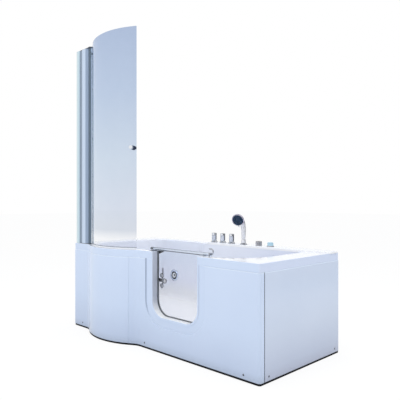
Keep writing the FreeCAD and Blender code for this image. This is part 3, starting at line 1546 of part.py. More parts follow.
def hand_shower():
    place = (SHOWER_X, FITTING_Y, LEDGE)
    bore = s.shower_grip_radius + s.bearing_gap * 2
    sleeve, collar = s.shower_sleeve_radius, s.shower_collar_height
    profile = [
        (bore, -s.shower_sleeve_length),
        (sleeve, -s.shower_sleeve_length),
        (sleeve, 0),
        (s.shower_flange_radius, 0),
        (s.shower_flange_radius, s.shower_flange_height / 2),
        (s.shower_collar_radius, s.shower_flange_height),
        (s.shower_collar_radius, collar),
        (bore, collar),
    ]
    part(turned(profile, place), "shower_holder")

    stop = collar + s.running_gap
    top = stop + s.shower_stop_height + s.shower_handle_height
    grip = s.shower_grip_radius
    profile = [
        (0, stop - s.shower_grip_below),
        (grip, stop - s.shower_grip_below),
        (grip, stop),
        (s.shower_stop_radius, stop),
        (s.shower_stop_radius, stop + s.shower_stop_height),
        (grip, stop + s.shower_stop_height),
        (s.shower_handle_radius, top),
        (0, top),
    ]
    handle = turned(profile, place)
    neck_start = (SHOWER_X, FITTING_Y, LEDGE + top)
    run = (s.shower_head_aside, -s.shower_head_ahead, s.shower_head_rise)
    neck = rod(neck_start, point(*run), s.shower_handle_radius, distance(*run) - s.shower_head_depth)
    head_place = (SHOWER_X + run[0], FITTING_Y + run[1], LEDGE + top + run[2])
    facing = Vector(*SHOWER_FACING_SHARES).normalize()
    depth, lip = s.shower_head_depth, s.shower_head_lip
    profile = [
        (0, -depth),
        (s.shower_head_back_radius, -depth),
        (s.shower_head_radius, 0),
        (s.shower_head_radius, lip),
        (0, lip),
    ]
    head = turned(profile, head_place, facing)
    part(fuse(handle, ball(neck_start, s.shower_handle_radius), neck, head), "hand_shower")

    profile = [
        (0, lip),
        (s.shower_face_radius, lip),
        (s.shower_face_radius - s.shower_face_thickness / 2, lip + s.shower_face_thickness),
        (0, lip + s.shower_face_thickness),
    ]
    part(turned(profile, head_place, facing), "shower_face")


tub_shell()
bow_panel()
door_panel()
end_panel()
floor_strips()
panel_screws()
panel_battens()
door_surround()
door_seal()
door_glass()
door_rail()
hinge_bracket()
hinge()
latch()
wall_channel()
adjuster_profile()
screen_post()
pivot()
screen_leaf()
frame()
feet()
waste()
overflow()
jets()
pipes()
suction_cover()
pump()
taps()
air_knob()
jet_button()
hand_shower()

doc.recompute()

for thing in doc.Objects:
    if "Invalid" in thing.State or "Error" in thing.State:
        raise RuntimeError(f"{thing.Label} did not build: {thing.State}")

os.makedirs("parts", exist_ok=True)
for node in nodes:
    if node.Shape.isNull() or not node.Shape.isValid():
        raise RuntimeError(f"{node.Label} has no valid shape")
    node.Shape.exportStep(f"parts/{node.Label}.step")
    print(f"{node.Label}: {len(node.Shape.Solids)} solid(s), {node.Shape.Volume / 1000:.1f} cm3")
print(f"{len(nodes)} nodes")
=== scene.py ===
# %% [markdown]
# # A walk-in shower bath, from its solids to its photograph
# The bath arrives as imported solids: a shell, three panels, a glass door, a curved screen and the fittings.
# Here each piece that is seen gets a finer surface and each finish gets its own nodes.
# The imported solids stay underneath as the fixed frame, so a piece only has to be drawn in its right place.

# %% Load the frame
import json
import math

import bmesh
import bpy
import numpy as np
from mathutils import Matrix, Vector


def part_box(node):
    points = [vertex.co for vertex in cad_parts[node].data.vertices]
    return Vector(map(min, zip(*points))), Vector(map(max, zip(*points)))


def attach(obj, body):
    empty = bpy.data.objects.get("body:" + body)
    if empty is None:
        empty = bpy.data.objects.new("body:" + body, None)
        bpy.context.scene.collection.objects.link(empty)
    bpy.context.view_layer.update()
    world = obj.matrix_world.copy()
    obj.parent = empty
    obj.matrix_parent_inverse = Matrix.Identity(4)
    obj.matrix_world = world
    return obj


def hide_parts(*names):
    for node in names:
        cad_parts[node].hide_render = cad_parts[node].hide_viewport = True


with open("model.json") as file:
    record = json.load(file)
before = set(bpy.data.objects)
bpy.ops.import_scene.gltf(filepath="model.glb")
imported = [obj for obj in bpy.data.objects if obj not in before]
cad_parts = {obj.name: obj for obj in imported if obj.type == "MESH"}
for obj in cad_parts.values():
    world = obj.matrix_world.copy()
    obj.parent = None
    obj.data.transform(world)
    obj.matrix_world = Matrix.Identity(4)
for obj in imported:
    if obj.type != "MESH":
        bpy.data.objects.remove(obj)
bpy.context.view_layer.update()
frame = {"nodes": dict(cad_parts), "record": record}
nodes = frame["nodes"]

# %% [markdown]
# ## Camera, light and floor
# The photograph is a level shot from in front of the door's right, with pure white all round.
# The camera stands where the tub's corners fall on their pixels; a lens shift of under a pixel does the rest.
# The light is a pale sky, a wide soft box above, and weaker ones in front and right: the deck is lightest.
# Dark cards to the right and overhead show in reflections only: without them chrome on white has no outline.

# %% The camera
PHOTO_SIZE, SENSOR = 400, 36
FOCAL_PIXELS, SHIFT_PIXELS = 486.6, 0.68
scene = bpy.context.scene
scene.view_settings.view_transform = "Standard"
camera = bpy.data.objects.new("camera", bpy.data.cameras.new("camera"))
scene.collection.objects.link(camera)
scene.camera = camera
camera.location = (2.3133, -2.2222, 0.9083)
camera.rotation_euler = (math.radians(90), 0, math.radians(44.8))
camera.data.sensor_width = SENSOR
camera.data.lens = FOCAL_PIXELS / PHOTO_SIZE * SENSOR
camera.data.shift_y = SHIFT_PIXELS / PHOTO_SIZE
print("lens", round(camera.data.lens, 2), "mm")


# %% Helpers that feed nodes
def wire(tree, node, inputs):
    """Feeds a node: another node's output is linked to the named socket, a constant is set directly on it."""
    for socket, source in inputs.items():
        if isinstance(source, bpy.types.NodeSocket):
            tree.links.new(source, node.inputs[socket])
        else:
            node.inputs[socket].default_value = source
    return node


def add_node(tree, kind, inputs):
    """A new node of a kind, fed with its inputs."""
    return wire(tree, tree.nodes.new(kind), inputs)


def calculate(tree, operation, first, second):
    """The result of one operation on two inputs."""
    node = add_node(tree, "ShaderNodeMath", {0: first, 1: second})
    node.operation = operation
    return node.outputs[0]


print("helpers for nodes ready")


# %% The sky: soft for the surfaces, plain white for the eye, mirrors and glass
def white_to_the_eye(tree):
    """1 for rays from the camera, a mirror or a glass, else 0: the largest of three Light Path outputs."""
    rays = tree.nodes.new("ShaderNodeLightPath").outputs
    seen = calculate(tree, "MAXIMUM", rays["Is Camera Ray"], rays["Is Glossy Ray"])
    return calculate(tree, "MAXIMUM", seen, rays["Is Transmission Ray"])


SKY_STRENGTH, EYE_STRENGTH = 0.80, 1.0
scene.world = bpy.data.worlds.new("studio")
scene.world.use_nodes = True
sky = scene.world.node_tree
strength = add_node(sky, "ShaderNodeMapRange",
                    {"Value": white_to_the_eye(sky), "To Min": SKY_STRENGTH, "To Max": EYE_STRENGTH})
wire(sky, sky.nodes["Background"], {"Color": (1, 1, 1, 1), "Strength": strength.outputs[0]})
print("sky of strength", SKY_STRENGTH)


# %% The lamps
def lamp(name, place, aim, size, watts):
    """A square soft box at a place, turned so that its face looks at the aim."""
    light = bpy.data.lights.new(name, "AREA")
    light.size = size
    light.energy = watts
    holder = bpy.data.objects.new(name, light)
    scene.collection.objects.link(holder)
    holder.location = place
    away = np.subtract(place, aim)
    tilt = math.atan2(math.hypot(away[0], away[1]), away[2])
    holder.rotation_euler = (tilt, 0, math.atan2(away[1], away[0]) + math.pi / 2)
    holder.visible_glossy = False
    print(name, watts, "W")


lamp("soft_box_above", (0.1, 0.0, 3.6), (0, 0, 0.6), 2.6, 40)
lamp("soft_box_front", (-0.5, -4.2, 2.2), (-0.1, -0.3, 0.4), 1.8, 19)
lamp("soft_box_right", (3.6, 0.6, 1.8), (0.85, 0.1, 0.4), 1.6, 10)


# %% The dark cards
def dull_sheet(name, corners, colour, roughness):
    """A flat sheet of four corners in a paint without gloss: returns the object and the paint's tree."""
    mesh = bpy.data.meshes.new(name)
    mesh.from_pydata(corners, [], [(0, 1, 2, 3)])
    paint = bpy.data.materials.new(name)
    paint.use_nodes = True
    wire(paint.node_tree, paint.node_tree.nodes["Principled BSDF"],
         {"Base Color": colour, "Roughness": roughness, "Specular IOR Level": 0.0})
    mesh.materials.append(paint)
    holder = bpy.data.objects.new(name, mesh)
    scene.collection.objects.link(holder)
    return holder, paint.node_tree


DARK = (0.015, 0.02, 0.03, 1)
CARDS = {
    "card_right": [(3.4, -2.4, 0.0), (4.2, 1.6, 0.0), (4.2, 1.6, 3.0), (3.4, -2.4, 3.0)],
    "card_far_right": [(4.2, 1.6, 0.0), (1.8, 4.6, 0.0), (1.8, 4.6, 3.0), (4.2, 1.6, 3.0)],
    "card_overhead": [(-0.7, -1.0, 2.9), (1.0, -1.0, 2.9), (1.0, 1.2, 2.9), (-0.7, 1.2, 2.9)],
}
for name, corners in CARDS.items():
    holder, _ = dull_sheet(name, corners, DARK, 1.0)
    holder.visible_camera = holder.visible_diffuse = holder.visible_shadow = False
    holder.visible_transmission = False
print(len(CARDS), "dark cards")

# %% The floor: white to the eye, with a trace of the bath's shadow left in it
GROUND, GLOW, GLOW_SHARE = 30, 1.03, 0.86
corners = [(-GROUND, -GROUND, 0), (GROUND, -GROUND, 0), (GROUND, GROUND, 0), (-GROUND, GROUND, 0)]
floor, tree = dull_sheet("floor", corners, (0.88, 0.89, 0.91, 1), 0.9)
glow = add_node(tree, "ShaderNodeEmission", {"Strength": GLOW})
share = calculate(tree, "MULTIPLY", white_to_the_eye(tree), GLOW_SHARE)
blend = add_node(tree, "ShaderNodeMixShader",
                 {0: share, 1: tree.nodes["Principled BSDF"].outputs[0], 2: glow.outputs[0]})
wire(tree, tree.nodes["Material Output"], {"Surface": blend.outputs[0]})
print("floor ready")

# %% [markdown]
# ## Small tools for the finishes
# A finish is one Principled shader whose colour, roughness and relief are fed by noise on Object coordinates.
# Small helpers make the noise or a place along the bath, and turn it into a colour, a number or a relief.
# Every size is in metres, so a scale of 100 gives patches of about a centimetre.

# %% Helpers that make a finish, a place or a noise
WHITE = (1, 1, 1)
finishes = {}


def new_finish(name):
    """A node material, kept under its name: returns its tree and its one Principled shader."""
    finishes[name] = bpy.data.materials.new(name)
    finishes[name].use_nodes = True
    tree = finishes[name].node_tree
    return tree, tree.nodes["Principled BSDF"]


def position(tree, stretch=(1, 1, 1), turn=0.0):
    """Object coordinates in metres, times the stretch, then turned about the upright axis."""
    place = tree.nodes.new("ShaderNodeTexCoord").outputs["Object"]
    scaled = {"Vector": place, "Scale": stretch, "Rotation": (0, 0, turn)}
    return add_node(tree, "ShaderNodeMapping", scaled).outputs["Vector"]


def cloud(tree, scale, stretch=(1, 1, 1), detail=3.0):
    """Noise of the position: value = noise(scale * stretch * position)."""
    noise = {"Vector": position(tree, stretch), "Scale": scale, "Detail": detail}
    return add_node(tree, "ShaderNodeTexNoise", noise).outputs["Fac"]


def along(tree, axis, low, high, turn=0.0):
    """Height or length as a share: (place on the turned axis - low) / (high - low), held between 0 and 1."""
    parts = add_node(tree, "ShaderNodeSeparateXYZ", {0: position(tree, turn=turn)}).outputs
    share = {"Value": parts[axis], "From Min": low, "From Max": high}
    return add_node(tree, "ShaderNodeMapRange", share).outputs[0]


print("places and noise ready")


# %% Helpers that turn them into a colour, a number or a relief
def colours(tree, value, *stops):
    """A colour ramp of (place, red, green, blue) stops, read at the value."""
    ramp = add_node(tree, "ShaderNodeValToRGB", {0: value})
    keys = ramp.color_ramp.elements
    for _ in stops[2:]:
        keys.new(0.5)
    for key, stop in zip(keys, stops):
        key.position = stop[0]
    for key, stop in zip(keys, stops):
        key.color = (*stop[1:], 1)
    return ramp.outputs["Color"]


def times(tree, first, second):
    """Two colours multiplied."""
    mix = tree.nodes.new("ShaderNodeMix")
    mix.data_type = "RGBA"
    mix.blend_type = "MULTIPLY"
    return wire(tree, mix, {0: 1.0, 6: first, 7: second}).outputs[2]


def between(tree, value, low, high):
    """A number from low to high while a noise goes from 0.3 to 0.7, where most of its values lie."""
    span = {"Value": value, "From Min": 0.3, "From Max": 0.7, "To Min": low, "To Max": high}
    return add_node(tree, "ShaderNodeMapRange", span).outputs[0]


def relief(tree, value, depth, amount):
    """Bump: the surface's normal tilts as if it were raised by depth * value metres."""
    bump = {"Height": value, "Distance": depth, "Strength": amount}
    return add_node(tree, "ShaderNodeBump", bump).outputs[0]


print("helpers for finishes ready")

# %% [markdown]
# ## Acrylic: the shell and the panels
# The shell is white sanitary acrylic, the panels the same in thinner sheet; the room's bluish light is
# painted into their colour.
# A vacuum-formed sheet is glossy but never flat: it has a very fine orange peel and slow changes in tone.
# The tone is a ramp over slow noise, the orange peel a faint relief, and painted shade darkens the panels to
# the floor.


# %% The acrylic finishes
def acrylic(name, axis, low, high, *stops, gloss=0.5, shade_to_right=WHITE):
    """A ramp along one axis, times one along the tub, times slow noise, with fine orange-peel relief; the two
    ramps can carry painted light and shade.
    """
    tree, shader = new_finish(name)
    rise = colours(tree, along(tree, axis, low, high), *stops)
    shade_along_tub = colours(tree, along(tree, "X", 0.05, 0.65), (0.0, *WHITE), (1.0, *shade_to_right))
    tone = colours(tree, cloud(tree, 3.0), (0.3, 0.965, 0.97, 0.98), (0.7, *WHITE))
    wire(tree, shader, {
        "Base Color": times(tree, times(tree, rise, shade_along_tub), tone),
        "Roughness": between(tree, cloud(tree, 9.0), 0.14, 0.24),
        "Normal": relief(tree, cloud(tree, 420.0, detail=1.0), 0.00004, 0.25),
        "Specular IOR Level": gloss,
        "Coat Weight": 0.3 * gloss,
        "Coat Roughness": 0.08})


# The last stop of the panels' ramps: a lighter top edge, a painted highlight where the edge catches the
# light.
PAINTED_EDGE_HIGHLIGHT = (0.994, 0.75, 0.85, 1.0)
PANEL = ("Z", 0.0, 0.554)
PANEL_GLOSS = 0.22
# The basin's ramps are painted light and shade: lightest on its floor, darker up the walls, lighter by the
# rim, darker towards the right end.
acrylic("acrylic_white", "Z", 0.150, 0.650, (0.0, 0.97, 0.965, 0.97), (0.10, 0.95, 0.95, 0.97),
        (0.30, 0.87, 0.885, 0.975), (0.62, 0.83, 0.87, 0.96), (0.86, 0.875, 0.905, 0.99),
        shade_to_right=(0.85, 0.88, 0.94))
acrylic("deck_white", "Z", 0.590, 0.610, (0.0, 0.785, 0.82, 0.90), (1.0, 0.795, 0.83, 0.905))
# The ledge's low step faces are painted lighter than the deck: painted light against the shade they stand in.
acrylic("ledge_painted_light", "Z", 0.598, 0.608, (0.0, 0.98, 0.985, 1.0), (0.60, 0.98, 0.985, 1.0),
        (0.95, 0.795, 0.83, 0.905))
# The liner's ramp is painted light and shade: a pale sill, and a jamb that darkens towards the top.
acrylic("liner_painted_light_and_shade", "Z", 0.205, 0.320, (0.0, 0.95, 0.97, 1.0), (0.25, 0.88, 0.91, 0.96),
        (1.0, 0.55, 0.59, 0.69))
# The skirt is the deck's own sheet in the panels' bluer, darker tone: painted shade on its sides, greyer
# round the end.
acrylic("skirt_white", "X", 0.840, 0.850, (0.0, 0.66, 0.765, 0.95), (1.0, 0.70, 0.77, 0.94),
        gloss=PANEL_GLOSS)
# The panels' ramp over the height is painted shade, darker towards the floor, with the room's blue light
# painted in.
acrylic("panel_white", *PANEL, (0.0, 0.455, 0.53, 0.66), (0.10, 0.56, 0.65, 0.82), (0.45, 0.63, 0.735, 0.915),
        (0.990, 0.66, 0.765, 0.95), PAINTED_EDGE_HIGHLIGHT, gloss=PANEL_GLOSS)
# The end panel's copy of the panel finish is greyer and darker: painted shade of the side turned from the
# light.
acrylic("panel_end_painted_shade", *PANEL, (0.0, 0.47, 0.51, 0.63), (0.12, 0.53, 0.59, 0.725),
        (0.45, 0.61, 0.685, 0.82), (0.80, 0.65, 0.735, 0.885), (0.990, 0.66, 0.74, 0.89), PAINTED_EDGE_HIGHLIGHT,
        gloss=PANEL_GLOSS)
# A darker copy of the panel finish for the recess's left step: painted shade in the step.
acrylic("panel_step", *PANEL, (0.36, 0.62, 0.72, 0.89), (0.47, 0.42, 0.50, 0.64), (1.0, 0.40, 0.47, 0.61),
        gloss=PANEL_GLOSS)
print(len(finishes), "finishes of acrylic")

# %% [markdown]
# ## Metal finishes
# Taps, rail and hinge are chrome plate: nearly a mirror, darker where it is seen edge-on, with faint smears.
# The screen's profiles are polished aluminium, drawn through a die, so their marks run along their length;
# their light and shade across are painted in.
# The frame underneath is galvanised steel with its large crystals, and the valves are raw brass.


# %% The metal finishes
def metal(name, pale, deep, scale, smooth, rough, edge=WHITE, depth=0.00001, metallic=1.0):
    """A metal whose tone and sharpness follow one noise, with its own tone where it is seen edge-on."""
    tree, shader = new_finish(name)
    marks = cloud(tree, scale)
    wire(tree, shader, {
        "Base Color": colours(tree, marks, (0.3, *deep), (0.7, *pale)),
        "Roughness": between(tree, marks, smooth, rough),
        "Normal": relief(tree, cloud(tree, scale * 6), depth, 0.2),
        "Metallic": metallic,
        "Specular Tint": (*edge, 1)})


metal("chrome", (0.84, 0.86, 0.90), (0.76, 0.785, 0.83), 30, 0.04, 0.11, (0.10, 0.11, 0.15))
metal("satin_chrome", (0.62, 0.61, 0.63), (0.54, 0.53, 0.55), 90, 0.28, 0.40, (0.3, 0.3, 0.32))
metal("rail_chrome", (0.68, 0.74, 0.84), (0.60, 0.66, 0.76), 30, 0.05, 0.12, (0.05, 0.05, 0.07))
metal("hinge_chrome", (0.56, 0.58, 0.62), (0.44, 0.46, 0.50), 60, 0.08, 0.16, (0.08, 0.08, 0.10))
# A near-black chrome: painted shade, for the knob's stem and inner head.
metal("chrome_in_painted_shade", (0.13, 0.15, 0.20), (0.09, 0.10, 0.14), 60, 0.10, 0.20, (0.04, 0.04, 0.05))
# A lilac metal for the shower head's upper rim: a painted highlight, the coloured sheen seen there.
metal("lilac", (0.66, 0.63, 0.74), (0.58, 0.55, 0.66), 60, 0.14, 0.24, (0.35, 0.33, 0.42))
metal("pearl", (0.92, 0.92, 0.94), (0.86, 0.86, 0.885), 60, 0.16, 0.26, (0.55, 0.55, 0.62), metallic=0.45)
metal("steel", (0.56, 0.57, 0.58), (0.46, 0.47, 0.48), 60, 0.25, 0.42)
metal("brass", (0.72, 0.52, 0.22), (0.60, 0.42, 0.17), 50, 0.22, 0.40)
metal("motor_grey", (0.47, 0.49, 0.52), (0.38, 0.40, 0.43), 220, 0.45, 0.62, depth=0.0002)
print(len(finishes), "finishes with plain and plated metal")


# %% The galvanised steel
def galvanised(name):
    """Zinc spangle: crystals from a Voronoi pattern, each with its own tone and sharpness."""
    tree, shader = new_finish(name)
    crystals = add_node(tree, "ShaderNodeTexVoronoi", {"Vector": position(tree), "Scale": 70})
    grey = add_node(tree, "ShaderNodeRGBToBW", {0: crystals.outputs["Color"]}).outputs[0]
    wire(tree, shader, {
        "Base Color": colours(tree, grey, (0.2, 0.42, 0.44, 0.46), (0.8, 0.60, 0.62, 0.64)),
        "Roughness": between(tree, grey, 0.35, 0.55),
        "Normal": relief(tree, grey, 0.0001, 0.2),
        "Metallic": 1.0})


galvanised("frame_steel")
print(len(finishes), "finishes with the galvanised steel")


# %% The drawn profiles
def middle_of(node):
    """The middle of a solid's box."""
    return np.mean(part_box(node), axis=0)


def drawn_profile(name, low, high, turn, *stops):
    """An anodised profile: a ramp across it from low to high, which paints in light and shade, times the fine
    upright marks of the die.
    """
    tree, shader = new_finish(name)
    marks = cloud(tree, 160, (1, 1, 0.02))
    across = colours(tree, along(tree, "X", low, high, turn), *stops)
    tone = colours(tree, marks, (0.3, 0.94, 0.945, 0.95), (0.7, *WHITE))
    wire(tree, shader, {
        "Base Color": times(tree, across, tone),
        "Roughness": between(tree, marks, 0.30, 0.42),
        "Normal": relief(tree, marks, 0.00002, 0.2),
        "Metallic": 0.25})


PIVOT_RADIUS = 0.0105
pivot_x, pivot_y, _ = middle_of("pivot_tube")
pivot_across = (pivot_x + pivot_y) / math.sqrt(2)
# Painted light and shade across the profiles: pale faces of channel and post, a dark band of painted shade
# over the adjuster's gap, a darker nose slope.
drawn_profile("polished_aluminium", -0.850, -0.650, 0.0, (0.0, 0.76, 0.85, 0.86), (0.10, 0.62, 0.77, 0.84),
              (0.215, 0.54, 0.69, 0.79), (0.222, 0.28, 0.35, 0.45), (0.390, 0.26, 0.33, 0.43),
              (0.394, 0.60, 0.715, 0.88), (0.612, 0.60, 0.715, 0.88), (0.620, 0.335, 0.42, 0.57),
              (0.80, 0.285, 0.385, 0.525))
# Across the tube: painted shade on its left half and a painted highlight stripe on its right.
drawn_profile("pivot_tube_painted_highlight", pivot_across - PIVOT_RADIUS, pivot_across + PIVOT_RADIUS, -math.pi / 4,
              (0.0, 0.085, 0.13, 0.185), (0.35, 0.085, 0.13, 0.185), (0.52, 0.13, 0.19, 0.26),
              (0.70, 0.42, 0.52, 0.60), (0.85, 0.92, 0.98, 1.0))
print("profiles and pivot tube at", round(float(pivot_x), 4))

# %% [markdown]
# ## Rubber, plastic and timber
# The strip under the panels is black rubber deepened by painted shade, the seals and gaskets are greyer, with
# a dull bloom.
# Pipes are grey pressure pipe, nozzles white plastic, the pump a grained casting, the screen's seal is milky.
# The boards that carry the tub and back the panels are plain softwood and ply, with grain along their length.


# %% The rubber and plastic finishes
def moulded(name, pale, deep, scale, smooth, rough, depth, gloss=0.5):
    """A moulded plastic or rubber: fine noise moves its tone, sharpness and skin a little."""
    tree, shader = new_finish(name)
    skin = cloud(tree, scale)
    wire(tree, shader, {
        "Base Color": colours(tree, cloud(tree, scale / 12), (0.3, *deep), (0.7, *pale)),
        "Roughness": between(tree, skin, smooth, rough),
        "Normal": relief(tree, skin, depth, 0.4),
        "Specular IOR Level": gloss})


moulded("black_rubber", (0.022, 0.024, 0.03), (0.012, 0.014, 0.018), 900, 0.5, 0.75, 0.0001)
# The deepest black: painted shade, for the joint strip and the jets' grooves and throats, and deepening the
# rubber strip under the panels.
moulded("black_with_painted_shade", (0.007, 0.008, 0.011), (0.004, 0.005, 0.007), 900, 0.6, 0.85, 0.0001, gloss=0.2)
moulded("gasket_grey", (0.135, 0.185, 0.25), (0.115, 0.16, 0.215), 700, 0.45, 0.65, 0.00006)
moulded("seal_grey", (0.135, 0.15, 0.175), (0.105, 0.118, 0.14), 700, 0.45, 0.65, 0.00008)
moulded("bead_grey", (0.30, 0.34, 0.40), (0.26, 0.30, 0.36), 700, 0.45, 0.65, 0.00008)
moulded("clear_seal", (0.93, 0.95, 1.0), (0.88, 0.91, 0.97), 900, 0.2, 0.35, 0.000008)
moulded("grey_plastic", (0.40, 0.41, 0.42), (0.34, 0.35, 0.36), 500, 0.3, 0.45, 0.00004)
moulded("white_plastic", (0.80, 0.82, 0.84), (0.74, 0.76, 0.79), 500, 0.22, 0.36, 0.00003)
moulded("pump_black", (0.035, 0.036, 0.04), (0.02, 0.021, 0.024), 700, 0.4, 0.6, 0.0002)
moulded("navy_plastic", (0.027, 0.056, 0.11), (0.018, 0.038, 0.078), 500, 0.25, 0.40, 0.00003, gloss=0.2)
moulded("sky_blue", (0.52, 0.74, 0.86), (0.46, 0.69, 0.83), 400, 0.12, 0.22, 0.00002)
print(len(finishes), "finishes with rubber and plastic")


# %% The timber
def timber(name):
    """Straight grain: rings of a wave pattern along X, bent by noise, with fine pores."""
    tree, shader = new_finish(name)
    bent = {"Vector": position(tree, (0.25, 1, 1)), "Scale": 26, "Distortion": 5, "Detail": 3}
    rings = add_node(tree, "ShaderNodeTexWave", bent)
    rings.bands_direction = "Y"
    grain = rings.outputs["Fac"]
    wire(tree, shader, {
        "Base Color": colours(tree, grain, (0.1, 0.46, 0.30, 0.16), (0.8, 0.62, 0.44, 0.26)),
        "Roughness": between(tree, grain, 0.55, 0.75),
        "Normal": relief(tree, cloud(tree, 300, (0.08, 1, 1)), 0.0002, 0.4)})


timber("timber")
print(len(finishes), "finishes with timber")

# %% [markdown]
# ## Glass
# The screen is tinted safety glass; a painted reflection of a darker part of the room makes it deep blue-grey
# at the top.
# The door's pane is clear. Both let light through with a tint, and water marks soften their mirror image.
# One Principled shader with full transmission does it, and the tint is a ramp over the height that carries
# the painted reflection.


# %% The glass finishes
def glass(name, low, high, rise, across=((0.0, *WHITE), (1.0, *WHITE)), index=1.12):
    """Glass: a tint over the height from low to high, times one over the screen's width, and water marks; the
    height's tint can carry a painted reflection.
    """
    tree, shader = new_finish(name)
    height = colours(tree, along(tree, "Z", low, high), *rise)
    width = colours(tree, along(tree, "X", -0.67, -0.14), *across)
    marks = colours(tree, cloud(tree, 14.0), (0.35, 0.985, 0.988, 0.992), (0.65, *WHITE))
    wire(tree, shader, {
        "Base Color": times(tree, times(tree, height, width), marks),
        "Roughness": between(tree, cloud(tree, 25.0), 0.0, 0.02),
        "Transmission Weight": 1.0,
        "IOR": index})


# The screen's ramp darkens upwards: a painted reflection of the darker room above, over the glass's own light
# tint.
glass("screen_glass", 0.60, 2.0,
      ((0.0, 0.97, 0.975, 0.985), (0.045, 0.935, 0.95, 0.975), (0.085, 0.71, 0.755, 0.83),
       (0.20, 0.69, 0.75, 0.855), (0.42, 0.63, 0.72, 0.84), (0.72, 0.52, 0.62, 0.79),
       (1.0, 0.455, 0.55, 0.735)),
      ((0.0, *WHITE), (0.3, 0.985, 0.985, 0.98), (1.0, 0.96, 0.955, 0.955)))
glass("door_glass", 0.2, 0.6, ((0.0, 0.97, 0.975, 0.98), (1.0, 0.95, 0.965, 0.975)))
print(len(finishes), "finishes with the glass")

# %% [markdown]
# ## Small tools for the shapes
# Nearly every piece is a net of quads: rows of points along one direction, columns along the other.
# A turned fitting is a profile carried round an axis, a panel is a profile carried along the tub's front.
# One helper makes the net's faces, others close its ends, make it a mesh and put it on its body.


# %% Helpers for the nets
def net(points, close_rows=False, close_columns=False):
    """Quads over rows x columns x 3: each joins a point, its right, its lower right and its lower one."""
    rows, columns = points.shape[:2]
    row = np.arange(rows if close_rows else rows - 1)[:, None]
    column = np.arange(columns if close_columns else columns - 1)[None, :]
    below, right = (row + 1) % rows, (column + 1) % columns
    corners = np.broadcast_arrays(row * columns + column, row * columns + right,
                                  below * columns + right, below * columns + column)
    return points.reshape(-1, 3), np.stack(corners, -1).reshape(-1, 4).tolist()


def lid(ring):
    """One many-sided face over a closed ring of points."""
    return ring, [list(range(len(ring)))]


def joined(*surfaces):
    """Several nets as one: points end to end, each net's faces counted on from the points before it."""
    starts = np.cumsum([0] + [len(points) for points, _ in surfaces])
    faces = [(np.asarray(face) + start).tolist()
             for (_, part), start in zip(surfaces, starts) for face in part]
    return np.concatenate([points for points, _ in surfaces]), faces


def stacked(rings):
    """Closed rings joined one to the next, with a lid on the first and on the last."""
    return joined(net(rings, close_columns=True), lid(rings[0]), lid(rings[-1]))


def carried(rows):
    """A closed section carried along: each row is the path of one of its points, and lids close both ends."""
    return joined(net(rows, close_rows=True), lid(rows[:, 0]), lid(rows[:, -1]))


print("helpers for nets ready")

# %% From a net to a piece on its body
CREASE = math.radians(30)


def meshed(name, surface):
    """A net as a mesh: doubles merged, slivers taken out, faces turned outwards."""
    points, faces = surface
    mesh = bpy.data.meshes.new(name)
    mesh.from_pydata(points.tolist(), [], faces)
    shape = bmesh.new()
    shape.from_mesh(mesh)
    bmesh.ops.remove_doubles(shape, verts=shape.verts, dist=2e-6)
    bmesh.ops.dissolve_degenerate(shape, edges=shape.edges, dist=1e-7)
    bmesh.ops.recalc_face_normals(shape, faces=shape.faces)
    shape.to_mesh(mesh)
    shape.free()
    return mesh


def piece(name, surface, body, slot, *replaced, finish=None):
    """A net as an object on its body, smooth but for sharp edges, in its slot's finish or one of its own."""
    mesh = meshed(name, surface)
    mesh.polygons.foreach_set("use_smooth", np.ones(len(mesh.polygons), bool))
    mesh.set_sharp_from_angle(angle=CREASE)
    mesh.materials.append(finishes[finish or slot])
    holder = bpy.data.objects.new(name, mesh)
    scene.collection.objects.link(holder)
    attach(holder, body)
    if replaced:
        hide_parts(*replaced)
    print(name, len(mesh.polygons), "faces on", body)
    return holder


print("helpers for pieces ready")


# %% Helpers for curves
def arc(centre, radius, start, end, count):
    """Points on a circle: centre + radius * (cos a, sin a), with a in even steps from start to end."""
    angle = np.linspace(start, end, count)
    return np.asarray(centre) + radius * np.stack((np.cos(angle), np.sin(angle)), -1)


def rounded(corners, radius, steps=4):
    """A line through corners with each inner one cut off by a curve: (1-t)^2 a + 2 t (1-t) corner + t^2 b."""
    corners = np.asarray(corners, float)
    here = corners[1:-1]
    back, ahead = corners[:-2] - here, corners[2:] - here
    back_length, ahead_length = np.linalg.norm(back, axis=1), np.linalg.norm(ahead, axis=1)
    cut = np.minimum(radius, 0.48 * np.minimum(back_length, ahead_length))[:, None]
    a, b = here + back / back_length[:, None] * cut, here + ahead / ahead_length[:, None] * cut
    t = np.linspace(0, 1, steps + 1)[None, :, None]
    curve = (1 - t) ** 2 * a[:, None] + 2 * t * (1 - t) * here[:, None] + t ** 2 * b[:, None]
    return np.concatenate((corners[:1], curve.reshape(-1, 2), corners[-1:]))


print("helpers for curves ready")


# %% Helpers for turned work and round bars
def unit(vector):
    """A vector with its length made 1."""
    return np.asarray(vector, float) / np.linalg.norm(vector)


def frame_of(axis):
    """Three unit vectors: two across the axis and the axis itself."""
    axis = unit(axis)
    side = unit(np.cross((0.0, 0.0, 1.0) if abs(axis[2]) < 0.9 else (1.0, 0.0, 0.0), axis))
    return side, np.cross(axis, side), axis


def turned(profile, origin, axis=(0, 0, 1), around=96, ripple=None):
    """A profile of (radius, height) carried round an axis:
    origin + radius * (cos a * side + sin a * other) + height * axis, with the radius times the ripple.
    A profile that starts off the axis is a closed section with a bore."""
    side, other, up = frame_of(axis)
    angle = np.linspace(0, 2 * np.pi, around, endpoint=False)
    ring = np.cos(angle)[:, None] * side + np.sin(angle)[:, None] * other
    radius, height = np.asarray(profile, float).T
    reach = radius[:, None] * (ripple(angle, height[:, None]) if ripple else np.ones_like(angle))
    points = np.asarray(origin) + reach[..., None] * ring[None] + height[:, None, None] * up
    return net(points, close_rows=radius[0] > 0, close_columns=True)


